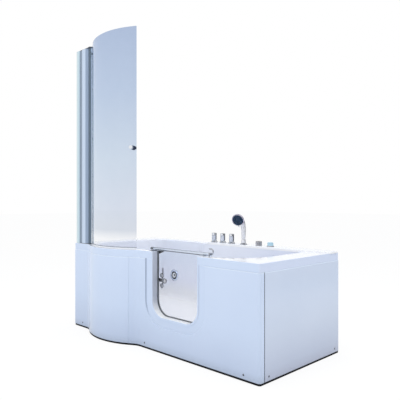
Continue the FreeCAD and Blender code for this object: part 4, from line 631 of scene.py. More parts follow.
def tube(path, radius, across, around=32):
    """A round bar along a flat path: path + radius * (cos a * across + sin a * (tangent x across))."""
    tangent = np.gradient(path, axis=0)
    tangent /= np.linalg.norm(tangent, axis=1)[:, None]
    across = unit(across)
    other = np.cross(tangent, across)[:, None]
    angle = np.linspace(0, 2 * np.pi, around, endpoint=False)[None, :, None]
    radius = np.broadcast_to(radius, len(path))[:, None, None]
    return stacked(path[:, None] + radius * (np.cos(angle) * across + np.sin(angle) * other))


print("helpers for turned work ready")

# %% [markdown]
# ## The line of the front
# Seen from above, the front of this tub is straight by the door and bows out below the screen.
# The bow is one arc, and two smaller arcs of the other hand lead it into the straight line.
# Everything at the front follows it: rim, panels, strip, seal and screen, each set back by its own distance.

# %% The front line and the tub's outline
QUARTER = np.pi / 2
LEFT, RIGHT, FRONT, BACK = -0.850, 0.850, -0.335, 0.425
BOW_CENTRE, BOW_RADIUS = np.array((-0.390, 0.035)), 0.460
BLEND_RADIUS, BLEND_REACH, BLEND_DROP = 0.110, 0.30741, 0.480
RIM_CORNER, RIM_BACK = 0.008, 0.002


def front_edge(x, inset=0.0):
    """The front's Y at each X: the line, the blend's circle or the bow's circle, whichever that X lies on."""
    from_bow = np.abs(np.asarray(x, float) - BOW_CENTRE[0])
    join = BLEND_REACH * (BOW_RADIUS - inset) / (BOW_RADIUS + BLEND_RADIUS)
    bow = BOW_CENTRE[1] - np.sqrt(np.maximum((BOW_RADIUS - inset) ** 2 - from_bow ** 2, 0))
    blend_depth = np.sqrt(np.maximum((BLEND_RADIUS + inset) ** 2 - (from_bow - BLEND_REACH) ** 2, 0))
    blend = BOW_CENTRE[1] - BLEND_DROP + blend_depth
    return np.select([from_bow <= join, from_bow <= BLEND_REACH], [bow, blend], FRONT + inset)


def front_line(x, inset):
    """Points of the front, set back by the inset, at each X."""
    return np.stack((x, front_edge(x, inset)), -1)


def tub_outline(inset):
    """The rim's closed outline: along the front, round the right corner, up the end and along the walls."""
    wall = inset - RIM_BACK
    left, back, end = LEFT + wall, BACK - wall, RIGHT - inset
    front = front_line(np.linspace(left, RIGHT - RIM_CORNER, 1600), inset)
    corner_radius = max(RIM_CORNER - inset, 0.0005)
    corner = arc((RIGHT - RIM_CORNER, FRONT + RIM_CORNER), corner_radius, -QUARTER, 0, 9)
    return np.concatenate((front, corner,
                           np.linspace((end, corner[-1, 1]), (end, back), 500)[1:],
                           np.linspace((end, back), (left, back), 1000)[1:],
                           np.linspace((left, back), (left, front[0, 1]), 500)[1:-1]))


print("bow reaches", round(float(front_edge(BOW_CENTRE[0])), 4))

# %% The basin's outline
INNER_FRONT, INNER_LEFT, INNER_RIGHT, INNER_BACK, INNER_BACK_LEFT = -0.285, -0.720, 0.690, 0.320, 0.355
INNER_BOW, INNER_BLEND = 0.410, 0.160
NEAR_LEFT, NEAR_RIGHT, FAR_RIGHT, FAR_LEFT = 0.120, 0.250, 0.065, 0.140
LEDGE_X, LEDGE_STEP, STEP_RADIUS = -0.150, 0.035, 0.120


def inner_points(start, end, count):
    """Even points on a straight line, without its two ends."""
    return np.linspace(start, end, count)[1:-1]


def basin_outline(grow, slope):
    """The basin's closed outline: corner, bow, blend, straight front, corners at backrest and ledge."""
    left, right = INNER_LEFT - grow, INNER_RIGHT + grow - slope
    front, back, back_left = INNER_FRONT - grow, INNER_BACK + grow, INNER_BACK_LEFT + grow
    bow, near_left, near_right = INNER_BOW + grow, NEAR_LEFT + grow, NEAR_RIGHT + grow - slope
    far_right, far_left = FAR_RIGHT + grow, FAR_LEFT + grow
    corner_x = left + near_left
    corner_y = BOW_CENTRE[1] - np.sqrt((bow - near_left) ** 2 - (corner_x - BOW_CENTRE[0]) ** 2)
    to_corner = np.arctan2(corner_y - BOW_CENTRE[1], corner_x - BOW_CENTRE[0])
    to_blend = np.arctan2(-BLEND_DROP, BLEND_REACH)
    blend_middle = BOW_CENTRE + (BLEND_REACH, -BLEND_DROP)
    swing = np.arccos(1 - LEDGE_STEP / (2 * STEP_RADIUS))
    step_end = LEDGE_X - 2 * STEP_RADIUS * np.sin(swing)
    return np.concatenate((
        arc((corner_x, corner_y), near_left, -np.pi, to_corner, 90),
        arc(BOW_CENTRE, bow, to_corner, to_blend, 240),
        arc(blend_middle, INNER_BLEND - grow, to_blend + np.pi, QUARTER, 60),
        inner_points((blend_middle[0], front), (right - near_right, front), 300),
        arc((right - near_right, front + near_right), near_right, -QUARTER, 0, 140),
        inner_points((right, front + near_right), (right, back - far_right), 120),
        arc((right - far_right, back - far_right), far_right, 0, QUARTER, 100),
        inner_points((right - far_right, back), (LEDGE_X, back), 300),
        arc((LEDGE_X, back + STEP_RADIUS - grow), STEP_RADIUS - grow, -QUARTER, -QUARTER - swing, 40),
        arc((step_end, back_left - STEP_RADIUS - grow), STEP_RADIUS + grow, QUARTER - swing, QUARTER, 40),
        inner_points((step_end, back_left), (left + far_left, back_left), 160),
        arc((left + far_left, back_left - far_left), far_left, QUARTER, 2 * QUARTER, 100),
        inner_points((left, back_left - far_left), (left, corner_y), 140)))


print("basin outline of", len(basin_outline(0.0, 0.0)), "points")

# %% [markdown]
# ## The tub shell
# The real shell is one sheet of acrylic drawn into a mould: floor, walls, lip, deck and turned-down skirt.
# It could be lofted from curves, but rings of points are simpler: each ring is an outline at one height, and
# all rings are read along the same rays from a point inside the basin, so their points match.
# The doorway is then cut out of the finished sheet, as the maker cuts it with a router.

# %% The shell's rings
RIM, FLOOR, FILLET, LIP, SHEET, SKIRT_FOOT, EDGE = 0.600, 0.150, 0.048, 0.010, 0.008, 0.555, 0.0035
BACKREST = 0.120
RAY_CENTRE = np.array((-0.05, 0.03))
RIM_TURNS = [0, 1599, 1601, 1603, 1605, 1607, 2106, 3105]


def ray_angles(outline):
    """The direction of each point of an outline from the ray centre."""
    away = outline - RAY_CENTRE
    return np.arctan2(away[:, 1], away[:, 0])


rim_line, basin_line = tub_outline(RIM_BACK), basin_outline(0.0, 0.0)
ray_ends = np.concatenate((rim_line[RIM_TURNS], rim_line[::18], basin_line[::5]))
angles = np.unique(np.round(ray_angles(ray_ends), 6))


def at_height(plan, z):
    """A flat ring of points lifted to a height."""
    return np.concatenate((plan, np.full((len(plan), 1), z)), axis=1)


def ring_at(outline, z):
    """An outline read along the rays, its distance from the centre interpolated by direction, at a height."""
    turn, reach = ray_angles(outline), np.hypot(*(outline - RAY_CENTRE).T)
    distance = np.interp(angles, turn, reach, period=2 * np.pi)
    return at_height(RAY_CENTRE + distance[:, None] * np.stack((np.cos(angles), np.sin(angles)), -1), z)


def basin_rings(grows, heights):
    """Rings of the basin, grown for each height; the backrest comes forward by 120 mm down to the floor."""
    slopes = BACKREST * (RIM - heights) / (RIM - FLOOR)
    return [ring_at(basin_outline(grow, slope), z) for grow, slope, z in zip(grows, slopes, heights)]


def rim_rings(insets, heights):
    """Rings of the rim: the tub's outline set back by each inset."""
    return [ring_at(tub_outline(inset), z) for inset, z in zip(insets, heights)]


def to_middle(ring, shares):
    """Rings that shrink to the ray centre: centre + share * (ring - centre)."""
    middle = np.append(RAY_CENTRE, ring[0, 2])
    return [middle + share * (ring - middle) for share in shares]


print(len(angles), "rays")

# %% The shell as one sheet
bend = np.linspace(0, QUARTER, 8)
sine_left, cosine_left = 1 - np.sin(bend), 1 - np.cos(bend)
inner = basin_rings(LIP * sine_left, RIM - LIP * cosine_left)
inner += basin_rings(np.zeros(12), np.linspace(RIM - LIP, FLOOR + FILLET, 14)[1:-1])
inner += basin_rings(-FILLET * cosine_left, FLOOR + FILLET * sine_left)
inner += to_middle(inner[-1], (0.8, 0.55, 0.3, 0.0))
outer = rim_rings(RIM_BACK + EDGE * sine_left, RIM - EDGE * cosine_left)
outer += rim_rings((RIM_BACK, RIM_BACK + SHEET, RIM_BACK + SHEET), (SKIRT_FOOT, SKIRT_FOOT, RIM - SHEET))
under = basin_rings(np.full(8, SHEET), np.linspace(RIM - SHEET, FLOOR + FILLET, 8))
under += basin_rings(SHEET - (FILLET + SHEET) * cosine_left, FLOOR + FILLET - (FILLET + SHEET) * np.sin(bend))
under += to_middle(under[-1], (0.6, 0.3, 0.0))
shell_net = net(np.stack(inner[::-1] + outer + under), close_columns=True)
shell = piece("tub_shell_moulding", shell_net, "tub", "acrylic_white", "tub_shell")

# %% The doorway's outline
DOOR_X, DOOR_HALF, SILL, DOOR_RADIUS = 0.218, 0.192, 0.212, 0.095
DOOR_CUT = 0.0052
SIDE_POINTS, BEND_POINTS = 24, 27


def doorway(offset, top):
    """The doorway's outline grown by each offset: down the left side, round, along the sill, round and up."""
    offset, top = np.atleast_1d(offset)[:, None], np.atleast_1d(top)[:, None]
    half, low, radius = DOOR_HALF + offset, SILL - offset, DOOR_RADIUS + offset
    share = np.linspace(0, 1, SIDE_POINTS)[None, :]
    angle = np.linspace(np.pi, 1.5 * np.pi, BEND_POINTS)[None, 1:-1]
    side_x, side_z = -half + 0 * share, top + (low + radius - top) * share
    turn_x, turn_z = radius - half + radius * np.cos(angle), low + radius + radius * np.sin(angle)
    sill_x, sill_z = (half - radius) * (2 * share - 1), low + 0 * share
    x = np.concatenate((side_x, turn_x, sill_x, -turn_x[:, ::-1], -side_x[:, ::-1]), axis=1)
    z = np.concatenate((side_z, turn_z, sill_z, turn_z[:, ::-1], side_z[:, ::-1]), axis=1)
    return DOOR_X + x, z


def round_door(section, top):
    """A section of (offset, Y) carried round the doorway: one row of points for each point of the section."""
    offsets, depths = np.asarray(section).T
    x, z = doorway(offsets, top)
    return np.stack((x, np.broadcast_to(depths[:, None], x.shape), z), -1)


def hole(centre, axis, radius, reach=0.03):
    """A round hole's tool: a rod through the centre along the axis, as long behind as in front."""
    return turned([(0, -reach), (radius, -reach), (radius, reach), (0, reach)], centre, axis, 48)


print("doorway of", len(doorway(0.0, RIM)[0][0]), "points")


# %% The openings cut out of the shell
def cut_out(holder, surface, name):
    """Takes a closed net's inside out of a piece with an exact Boolean, applied to the mesh."""
    tool = bpy.data.objects.new(name, meshed(name, surface))
    scene.collection.objects.link(tool)
    cut = holder.modifiers.new(name, "BOOLEAN")
    cut.operation, cut.solver, cut.object = "DIFFERENCE", "EXACT", tool
    result = bpy.data.meshes.new_from_object(holder.evaluated_get(bpy.context.evaluated_depsgraph_get()))
    holder.modifiers.clear()
    holder.data = result
    bpy.data.objects.remove(tool)
    result.set_sharp_from_angle(angle=CREASE)
    print(holder.name, "cut by", name, "to", len(result.polygons), "faces")


JET_NODES = ("jet_nozzle_left", "jet_nozzle_middle", "jet_nozzle_right")
JET_WALLS = (INNER_BACK_LEFT, INNER_BACK, INNER_BACK)
jet_places = [(middle_of(node)[0], wall, middle_of(node)[2]) for node, wall in zip(JET_NODES, JET_WALLS)]
waste_x, waste_y, _ = middle_of("waste_plug")
suction_x, _, suction_z = middle_of("suction_cover")
overflow_z = middle_of("overflow_plate")[2]
openings = [stacked(round_door([(DOOR_CUT, FRONT - 0.05), (DOOR_CUT, INNER_FRONT + 0.02)], 0.65))]
openings += [hole(place, (0, 1, 0), 0.0275) for place in jet_places]
openings += [hole((suction_x, INNER_BACK, suction_z), (0, 1, 0), 0.0225),
             hole((INNER_LEFT, waste_y, overflow_z), (1, 0, 0), 0.0185),
             hole((waste_x, waste_y, FLOOR), (0, 0, 1), 0.0245)]
cut_out(shell, joined(*openings), "openings_cut")


# %% The skirt takes the panels' bluer painted shade, the deck its own white
def face_values(holder):
    """The middle and the facing of each face of a piece, as two arrays of three columns."""
    faces = holder.data.polygons
    centre, facing = np.empty(len(faces) * 3), np.empty(len(faces) * 3)
    faces.foreach_get("center", centre)
    faces.foreach_get("normal", facing)
    return centre.reshape(-1, 3), facing.reshape(-1, 3)


def more_finishes(holder, **chosen_faces):
    """Gives faces of a piece further finishes: each name is a finish, each value the faces that take it."""
    index = np.zeros(len(holder.data.polygons), np.int32)
    for name, chosen in chosen_faces.items():
        holder.data.materials.append(finishes[name])
        index[chosen] = len(holder.data.materials) - 1
        print(int(chosen.sum()), "faces of", holder.name, "in", name)
    holder.data.polygons.foreach_set("material_index", index)


centre, facing = face_values(shell)
outside = (centre[:, 0] > RIGHT - 0.006) | (centre[:, 1] < front_edge(centre[:, 0]) + 0.006)
on_skirt = outside & (np.abs(facing[:, 2]) < 0.8) & (centre[:, 2] > SKIRT_FOOT)
on_deck = (facing[:, 2] > 0.8) & (centre[:, 2] > RIM - 0.004)
more_finishes(shell, skirt_white=on_skirt, deck_white=on_deck)

# %% [markdown]
# ## The raised ledge at the back
# The taps stand on a low step that the mould raises above the deck.
# It could be one more ring set, but it covers only part of the deck, so it is a block with soft edges.
# Its outline is a rectangle with rounded corners, and its top edge is a quarter circle.

# %% The ledge
LEDGE = 0.608


def block(low, high, corner, edge, steps=8):
    """A block with rounded plan corners and top edge: round-cornered rectangles, set in as they rise."""
    t = np.linspace(0, QUARTER, steps)
    insets = np.concatenate(((0.0,), edge * (1 - np.cos(t))))
    heights = np.concatenate(((low[2],), high[2] - edge + edge * np.sin(t)))
    angle = np.concatenate([np.linspace(k * QUARTER, (k + 1) * QUARTER, steps) for k in range(4)])
    x0, x1, y0, y1 = low[0] + corner, high[0] - corner, low[1] + corner, high[1] - corner
    radius = (corner - insets)[:, None]
    x = np.repeat((x1, x0, x0, x1), steps) + radius * np.cos(angle)
    y = np.repeat((y1, y1, y0, y0), steps) + radius * np.sin(angle)
    return stacked(np.stack((x, y, np.broadcast_to(heights[:, None], x.shape)), -1))


ledge_block = block((LEDGE_X, 0.3195, 0.592), (0.848, BACK, LEDGE), 0.012, 0.006)
# The ledge's finish paints its step faces lighter: painted light.
piece("tap_ledge", ledge_block, "tub", "acrylic_white", finish="ledge_painted_light")

# %% [markdown]
# ## The panels
# Three formed sheets close front and end: the bow, the door side with its moulded recess, the plain end.
# Each is a plate standing on a line of the plan, its softly rounded top edge catching the light, with a
# painted highlight.
# A black strip lies in the joint between door side and end, as the dark line that the photograph shows there:
# painted shade of the gap.
# The door side is a net from the doorway's outline to the sheet's border, so the recess follows the door.

# %% Plates on the plan line
PANEL_FOOT, PANEL_TOP, PANEL_SHEET, PANEL_EDGE = 0.012, 0.5547, 0.005, 0.003


def upright(outside, inside, low, high, edge):
    """A plate on a plan line: foot, face, rounded top edge and back, as shares of the way to the inside."""
    thick = np.linalg.norm(inside[0] - outside[0])
    t = np.linspace(0, QUARTER, 6)
    share = np.concatenate(((0,), edge / thick * (1 - np.cos(t)), (1, 1)))
    height = np.concatenate(((low,), high - edge + edge * np.sin(t), (high, low)))
    plan = outside[None] + share[:, None, None] * (inside - outside)[None]
    heights = np.broadcast_to(height[:, None, None], plan.shape[:2] + (1,))
    return carried(np.concatenate((plan, heights), axis=2))


def front_plate(start, end, count, low=PANEL_FOOT, high=PANEL_TOP, insets=(0.0, PANEL_SHEET),
                edge=PANEL_EDGE):
    """A plate that follows the front line between two X."""
    x = np.linspace(start, end, count)
    return upright(front_line(x, insets[0]), front_line(x, insets[1]), low, high, edge)


def end_plate(start, end, count, outside, inside, low, high, edge):
    """A plate along the tub's end between two Y."""
    face, back = (np.linspace((x, start), (x, end), count) for x in (outside, inside))
    return upright(face, back, low, high, edge)


print("helpers for plates ready")

# %% The bow panel, the end panel and the joint
SEAM_X, SEAM_HALF = -0.165, 0.0005
SEAM_BACK, CORNER_END, END_START = RIGHT - 0.012, FRONT + 0.0358, FRONT + 0.0412
piece("bow_panel_sheet", front_plate(LEFT, SEAM_X - SEAM_HALF, 320), "tub", "panel_white", "bow_panel")
end_sheet = end_plate(END_START, BACK, 12, RIGHT, RIGHT - PANEL_SHEET, PANEL_FOOT, PANEL_TOP, PANEL_EDGE)
# The end panel takes the darker, greyer copy of the panel finish: painted shade.
piece("end_panel_sheet", end_sheet, "tub", "panel_white", "end_panel", finish="panel_end_painted_shade")
# The joint strip is a black sheet of painted shade in the gap between door side and end.
joint_strip = end_plate(CORNER_END + 0.0001, END_START - 0.0001, 2, RIGHT - 0.0015, SEAM_BACK,
                        PANEL_FOOT + 0.002, PANEL_TOP - 0.002, 0.0005)
piece("corner_joint_strip", joint_strip, "tub", "black_rubber", finish="black_with_painted_shade")

# %% The door side panel's border
RECESS, RECESS_DEPTH, PANEL_CORNER, STEP_WIDTH = 0.062, 0.007, 0.016, 0.0045
FLAT_LEFT, FLAT_RIGHT = BOW_CENTRE[0] + BLEND_REACH, RIGHT - PANEL_CORNER
RECESS_FACE, RECESS_BACK, SHEET_BACK = FRONT + RECESS_DEPTH, FRONT + RECESS_DEPTH + 0.004, FRONT + PANEL_SHEET


def sheet_border(y):
    """The sheet's straight border at one Y, point for point with the doorway: side, foot and side."""
    x, z = (row[0] for row in doorway(0.0, PANEL_TOP))
    turn = np.linspace(0, 1, BEND_POINTS)[1:-1]
    foot_x = x[SIDE_POINTS + len(turn):-SIDE_POINTS - len(turn)]
    aside, down = np.maximum(2 * turn - 1, 0), np.minimum(2 * turn, 1)
    side_z = z[:SIDE_POINTS]
    bend_z = side_z[-1] + (PANEL_FOOT - side_z[-1]) * down
    left_x = np.append(np.full(SIDE_POINTS, FLAT_LEFT), FLAT_LEFT + (foot_x[0] - FLAT_LEFT) * aside)
    right_x = np.append(np.full(SIDE_POINTS, FLAT_RIGHT), FLAT_RIGHT + (foot_x[-1] - FLAT_RIGHT) * aside)
    border_x = np.concatenate((left_x, foot_x, right_x[::-1]))
    border_z = np.concatenate((side_z, bend_z, np.full(len(foot_x), PANEL_FOOT), bend_z[::-1], side_z[::-1]))
    return np.stack((border_x, np.full_like(border_x, y), border_z), -1)


def corner_line(inset):
    """The quarter circle round the front right corner, set back by the inset."""
    return arc((FLAT_RIGHT, FRONT + PANEL_CORNER), PANEL_CORNER - inset, -QUARTER, 0, 14)


print("flat from", round(float(FLAT_LEFT), 4), "to", FLAT_RIGHT)

# %% The door side panel with its recess
step_section = rounded([(DOOR_CUT, RECESS_FACE), (RECESS - STEP_WIDTH, RECESS_FACE), (RECESS, FRONT),
                        (RECESS + 0.008, FRONT)], 0.0012, 3)
face_rows = round_door(np.concatenate(([(DOOR_CUT, RECESS_BACK)], step_section)), PANEL_TOP)
border_rows = np.stack((sheet_border(FRONT), sheet_border(SHEET_BACK)))
back_section = [(RECESS + 0.008, SHEET_BACK), (RECESS + 0.005, SHEET_BACK), (RECESS + 0.005, RECESS_BACK)]
flat = carried(np.concatenate((face_rows, border_rows, round_door(back_section, PANEL_TOP))))
corner_plate = upright(np.append(corner_line(0.0), [(RIGHT, CORNER_END)], axis=0),
                       np.append(corner_line(PANEL_SHEET), [(RIGHT - PANEL_SHEET, CORNER_END)], axis=0),
                       PANEL_FOOT, PANEL_TOP, PANEL_EDGE)
door_side = joined(flat, front_plate(SEAM_X + SEAM_HALF, FLAT_LEFT, 60), corner_plate)
door_panel = piece("door_panel_sheet", door_side, "tub", "panel_white", "door_panel")
centre, facing = face_values(door_panel)
# The recess's slanted step faces left of the door take the darker finish: painted shade.
slanted = (facing[:, 0] > 0.45) & (facing[:, 1] < -0.2)
left_of_door = (centre[:, 0] > FLAT_LEFT) & (centre[:, 0] < DOOR_X)
more_finishes(door_panel, panel_step=slanted & left_of_door & (centre[:, 1] < RECESS_FACE))

# %% [markdown]
# ## The door's surround
# A moulded liner goes through the front wall and turns out into a flange in the panel's recess.
# Its front edge is well rounded, so that nobody steps in over a sharp corner. The sill is one pale band of
# painted light, and painted shade darkens the jamb upwards.
# It is a closed profile carried round the doorway; the liner ends at the rim, the flange with the panel.

# %% The surround
LINER_ROUND, LINER_THICK, FLANGE = 0.006, 0.005, 0.0140
flange_face = RECESS_FACE - 0.003
front_round = arc((LINER_ROUND, flange_face + LINER_ROUND), LINER_ROUND, np.pi, 1.5 * np.pi, 10)
liner_section = np.concatenate((
    [(0.0, INNER_FRONT)], front_round,
    [(0.0135, flange_face), (FLANGE, flange_face + 0.0005), (FLANGE, RECESS_FACE), (LINER_THICK, RECESS_FACE),
     (LINER_THICK, INNER_FRONT)]))
liner_top = np.where(liner_section[:, 0] <= LINER_THICK + 0.0001, RIM, PANEL_TOP)
surround = carried(round_door(liner_section, liner_top))
liner = piece("door_surround_liner", surround, "tub", "panel_white", "door_surround", finish="liner_painted_light_and_shade")
centre, facing = face_values(liner)
more_finishes(liner, panel_white=facing[:, 1] < -0.45)

# %% [markdown]
# ## The curved screen
# The pane is one sheet of toughened glass bent to the rim's line, six millimetres thick with polished edges.
# It could be thickened by a modifier, but the front line gives both faces, so it is a plate like the panels.
# Its top edge is ground to a gentle rise towards the free side.
# It turns on its tube at the wall side, so it rides on the screen's own body.

# %% The pane
PANE_FACES, PANE_RISE, PANE_RISE_START = (0.023, 0.029), 0.0175, -0.655
low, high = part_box("screen_glass")
pane_points, pane_faces = front_plate(low[0], high[0], 220, low[2], high[2], PANE_FACES, 0.0012)
along_pane = np.clip((pane_points[:, 0] - PANE_RISE_START) / (high[0] - PANE_RISE_START), 0, 1)
pane_points[:, 2] += PANE_RISE * (pane_points[:, 2] > high[2] - 0.01) * along_pane ** 0.4
piece("screen_pane", (pane_points, pane_faces), "bath_screen", "screen_glass", "screen_glass")

# %% [markdown]
# ## The screen's profiles
# A channel is screwed to the wall, an adjuster slides in it, a post carries the tube that the glass turns on.
# They are sawn from drawn aluminium, so each is one flat section carried straight up.
# The section's corners are eased a little, as a die leaves them, so that they catch a line of light.
# The tube is slim and round, and a grey gasket closes the gap between it and the post's nose.


# %% The profiles
def rounded_loop(corners, radius, steps=4):
    """A closed line with eased corners: opened at the middle of its last side, rounded and closed again."""
    corners = np.asarray(corners, float)
    middle = (corners[:1] + corners[-1:]) / 2
    return rounded(np.concatenate((middle, corners, middle)), radius, steps)[:-1]


def bar(corners, radius, low, high):
    """An upright bar: a closed section with eased corners, carried from low to high."""
    return stacked(np.stack([at_height(rounded_loop(corners, radius), z) for z in (low, high)]))


CHANNEL_WALL, CHANNEL_END, POST_START = 0.0025, -0.806, -0.7715
POST_FLAT, POST_NOSE = 0.0455, 0.008
(x0, y0, z0), (_, y1, z1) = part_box("wall_channel")
x1 = CHANNEL_END
xi, yi, yj = x0 + CHANNEL_WALL, y0 + CHANNEL_WALL, y1 - CHANNEL_WALL
section = [(x0, y0), (x1, y0), (x1, yi), (xi, yi), (xi, yj), (x1, yj), (x1, y1), (x0, y1)]
piece("wall_channel_bar", bar(section, 0.001, z0, z1), "tub", "polished_aluminium", "wall_channel")
(x0, y0, z0), (_, y1, z1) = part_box("adjuster_profile")
section = [(x0, y0), (POST_START, y0), (POST_START, y1), (x0, y1)]
piece("adjuster_bar", bar(section, 0.0015, z0, z1), "tub", "polished_aluminium", "adjuster_profile")
(_, y0, z0), (x1, y1, z1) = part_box("screen_post")
x0, xf, nose_y = POST_START, POST_START + POST_FLAT, (y0 + y1) / 2
section = [(x0, y0), (xf, y0), (x1, nose_y - POST_NOSE), (x1, nose_y + POST_NOSE), (xf, y1), (x0, y1)]
piece("screen_post_bar", bar(section, 0.002, z0, z1), "tub", "polished_aluminium", "screen_post")

# %% The pivot tube and its gasket
GASKET_HALF = 0.0055
g0, g1, h0, h1 = x1 - 0.0005, pivot_x - PIVOT_RADIUS - 0.001, nose_y - GASKET_HALF, nose_y + GASKET_HALF
gasket = bar([(g0, h0), (g1, h0), (g1, h1), (g0, h1)], 0.001, z0 + 0.0005, z1 - 0.0005)
piece("pivot_gasket", gasket, "tub", "black_rubber", finish="gasket_grey")
(_, _, z0), (_, _, z1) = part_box("pivot_tube")
section = rounded([(0, z0), (PIVOT_RADIUS, z0), (PIVOT_RADIUS, z1), (0, z1)], 0.0015)
pivot = turned(section, (pivot_x, pivot_y, 0), around=64)
piece("pivot_tube_bar", pivot, "bath_screen", "polished_aluminium", "pivot_tube", finish="pivot_tube_painted_highlight")

# %% [markdown]
# ## The screen's seal, clamp and knob
# A soft milky strip with a grey bead is pushed on the foot of the pane and wipes the rim.
# A dark clamp holds the pane to its tube near the top, and a turned knob with a head on each side swings it.
# The strip follows the front line like the pane. The knob is turned about the glass's own normal: a bright
# front head, and a stem in chrome painted dark as shade, which carries the inner head.

# %% The seal
low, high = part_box("screen_seal")
foot = low[2]
strip = front_plate(low[0], high[0], 200, foot, foot + 0.0085, (0.0214, 0.0306), 0.001)
piece("screen_seal_strip", strip, "bath_screen", "clear_seal", "screen_seal")
bead = front_plate(low[0], high[0], 200, foot + 0.0086, foot + 0.0120, (0.0216, 0.0304), 0.001)
piece("screen_seal_bead", bead, "bath_screen", "clear_seal", finish="bead_grey")

# %% The knob and the clamp
PANE_MIDDLE, CLAMP_X, CLAMP_Z = 0.026, -0.655, 1.947
knob_x, _, knob_z = middle_of("screen_knob")
knob_y = front_edge(knob_x, PANE_MIDDLE)
knob_place, pane_normal = (knob_x, knob_y, knob_z), np.append((knob_x, knob_y) - BOW_CENTRE, 0.0)
stem_profile = rounded([(0, -0.0270), (0.0140, -0.0265), (0.0140, -0.0105), (0.0070, -0.0095),
                        (0.0070, -0.0070), (0.0095, -0.0060), (0.0095, -0.0031), (0.0040, -0.0030),
                        (0.0040, 0.0030), (0.0095, 0.0031), (0.0095, 0.0060), (0.0070, 0.0070),
                        (0.0070, 0.0125), (0, 0.0125)], 0.0012, 5)
head_profile = rounded([(0, 0.0115), (0.0105, 0.0115), (0.0125, 0.0140), (0.0125, 0.0325), (0.0, 0.0345)],
                       0.0022, 5)
knob_head, knob_stem = (turned(profile, knob_place, pane_normal) for profile in (head_profile, stem_profile))
piece("screen_knob_turned", knob_head, "bath_screen", "chrome", "screen_knob")
# The stem and inner head are chrome painted dark: painted shade.
piece("screen_knob_stem", knob_stem, "bath_screen", "chrome", finish="chrome_in_painted_shade")
clamp_profile = rounded([(0, -0.006), (0.009, -0.006), (0.009, 0.0065), (0, 0.0075)], 0.002)
clamp = turned(clamp_profile, (CLAMP_X, front_edge(CLAMP_X, PANE_MIDDLE), CLAMP_Z), (0.3, -1, 0), 40)
piece("pane_clamp", clamp, "bath_screen", "polished_aluminium", finish="gasket_grey")

# %% [markdown]
# ## The strip under the panels
# A black rubber strip closes the gap between panels and floor, set back a little, so it reads as a shadow;
# its deeper black is painted shade.
# On the bath it is one length bent round the corner, so it is one plate on the whole line of front and end.

# %% The strip
STRIP_INSET, STRIP_THICK = 0.002, 0.006


def strip_line(inset):
    """The front line to the corner, a quarter circle round it, and straight along the end."""
    front = front_line(np.linspace(LEFT + STRIP_INSET, FLAT_RIGHT, 420), inset)
    return np.concatenate((front, corner_line(inset)[1:], [(RIGHT - inset, BACK)]))


strip = upright(strip_line(STRIP_INSET), strip_line(STRIP_INSET + STRIP_THICK), 0.0, PANEL_FOOT, 0.0008)
# Its black is deeper than the rubber's own: painted shade.
piece("floor_strip_line", strip, "tub", "black_rubber", "floor_strips", finish="black_with_painted_shade")

# %% [markdown]
# ## The glass door
# The door leaf is a sheet of clear glass with the doorway's outline, a little larger, behind the front wall.
# A rubber seal lies between them all round, and its thin lip is the dark line seen inside the opening.
# Both are the doorway's outline with a section: the glass has its edge eased, the seal is a small hook.

# %% The leaf and its seal
EASE = 0.0012
(glass_x0, glass_y0, _), (glass_x1, glass_y1, glass_top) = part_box("door_glass")
lap = DOOR_X - DOOR_HALF - glass_x0
leaf_section = [(lap - EASE, glass_y0), (lap, glass_y0 + EASE),
                (lap, glass_y1 - EASE), (lap - EASE, glass_y1)]
piece("door_leaf", stacked(round_door(leaf_section, glass_top)), "door", "door_glass", "door_glass")
seal_section = rounded_loop([(-0.0042, -0.2791), (0.0118, -0.2791), (0.0118, -0.2848), (-0.0006, -0.2848),
                             (-0.0006, -0.2905), (-0.0042, -0.2905)], 0.0008, 3)
seal = carried(round_door(seal_section, RIM))
piece("door_seal_ring", seal, "tub", "black_rubber", "door_seal", finish="seal_grey")

# %% [markdown]
# ## The door's rail, latch and clamps
# A round rail holds the glass along its top in a dark gasket, with a tail cap and a block at the hinge end.
# A bent hook turns in the rail's other end and goes round a pin on the rim.
# Round clamps, each with a rubber sleeve on its edge, hold the glass to the hinge strap.
# The rail, cap, clamps and sleeves are turned, the hook is a round bar along a bent path.

# %% The rail
RAIL_RADIUS, CAP_RADIUS, BORE, HOOK_SHAFT = 0.008, 0.0083, 0.0052, 0.030
AXIS_X = (1, 0, 0)
(x0, y0, _), (x1, y1, z1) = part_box("door_rail")
rail_y, rail_z, rail_long = (y0 + y1) / 2, z1 - RAIL_RADIUS, x1 - x0
rail_end = rounded([(0, 0.0), (RAIL_RADIUS, 0.0), (RAIL_RADIUS, rail_long), (BORE, rail_long)], 0.0015)
bored = [(BORE, rail_long), (BORE, rail_long - HOOK_SHAFT), (0, rail_long - HOOK_SHAFT)]
rail = turned(np.concatenate((rail_end, bored)), (x0, rail_y, rail_z), AXIS_X, 48)
piece("rail_bar", rail, "door", "chrome", "door_rail", finish="rail_chrome")
cap_profile = rounded([(0, -0.0015), (CAP_RADIUS, -0.0015), (CAP_RADIUS, 0.026), (0.0, 0.026)], 0.002)
cap = turned(cap_profile, (x0 + 0.0015, rail_y, rail_z), AXIS_X, 48)
piece("rail_tail_cap", cap, "door", "chrome", finish="seal_grey")
h0, h1 = glass_y0 - 0.0018, glass_y1 + 0.0018
gasket = bar([(glass_x0, h0), (glass_x1, h0), (glass_x1, h1), (glass_x0, h1)], 0.0008,
             RIM + 0.0022, rail_z - 0.0045)
piece("rail_gasket", gasket, "door", "chrome", finish="seal_grey")
wedge = [(glass_x0 + 0.004, RIM - 0.001), (glass_x0 + 0.060, RIM - 0.001), (glass_x0 + 0.004, RIM - 0.020)]
wedge_rings = np.array([[(x, y, z) for x, z in wedge] for y in (glass_y0 - 0.0002, glass_y1 + 0.0035)])
piece("rail_corner_block", stacked(wedge_rings), "door", "chrome", finish="black_rubber")

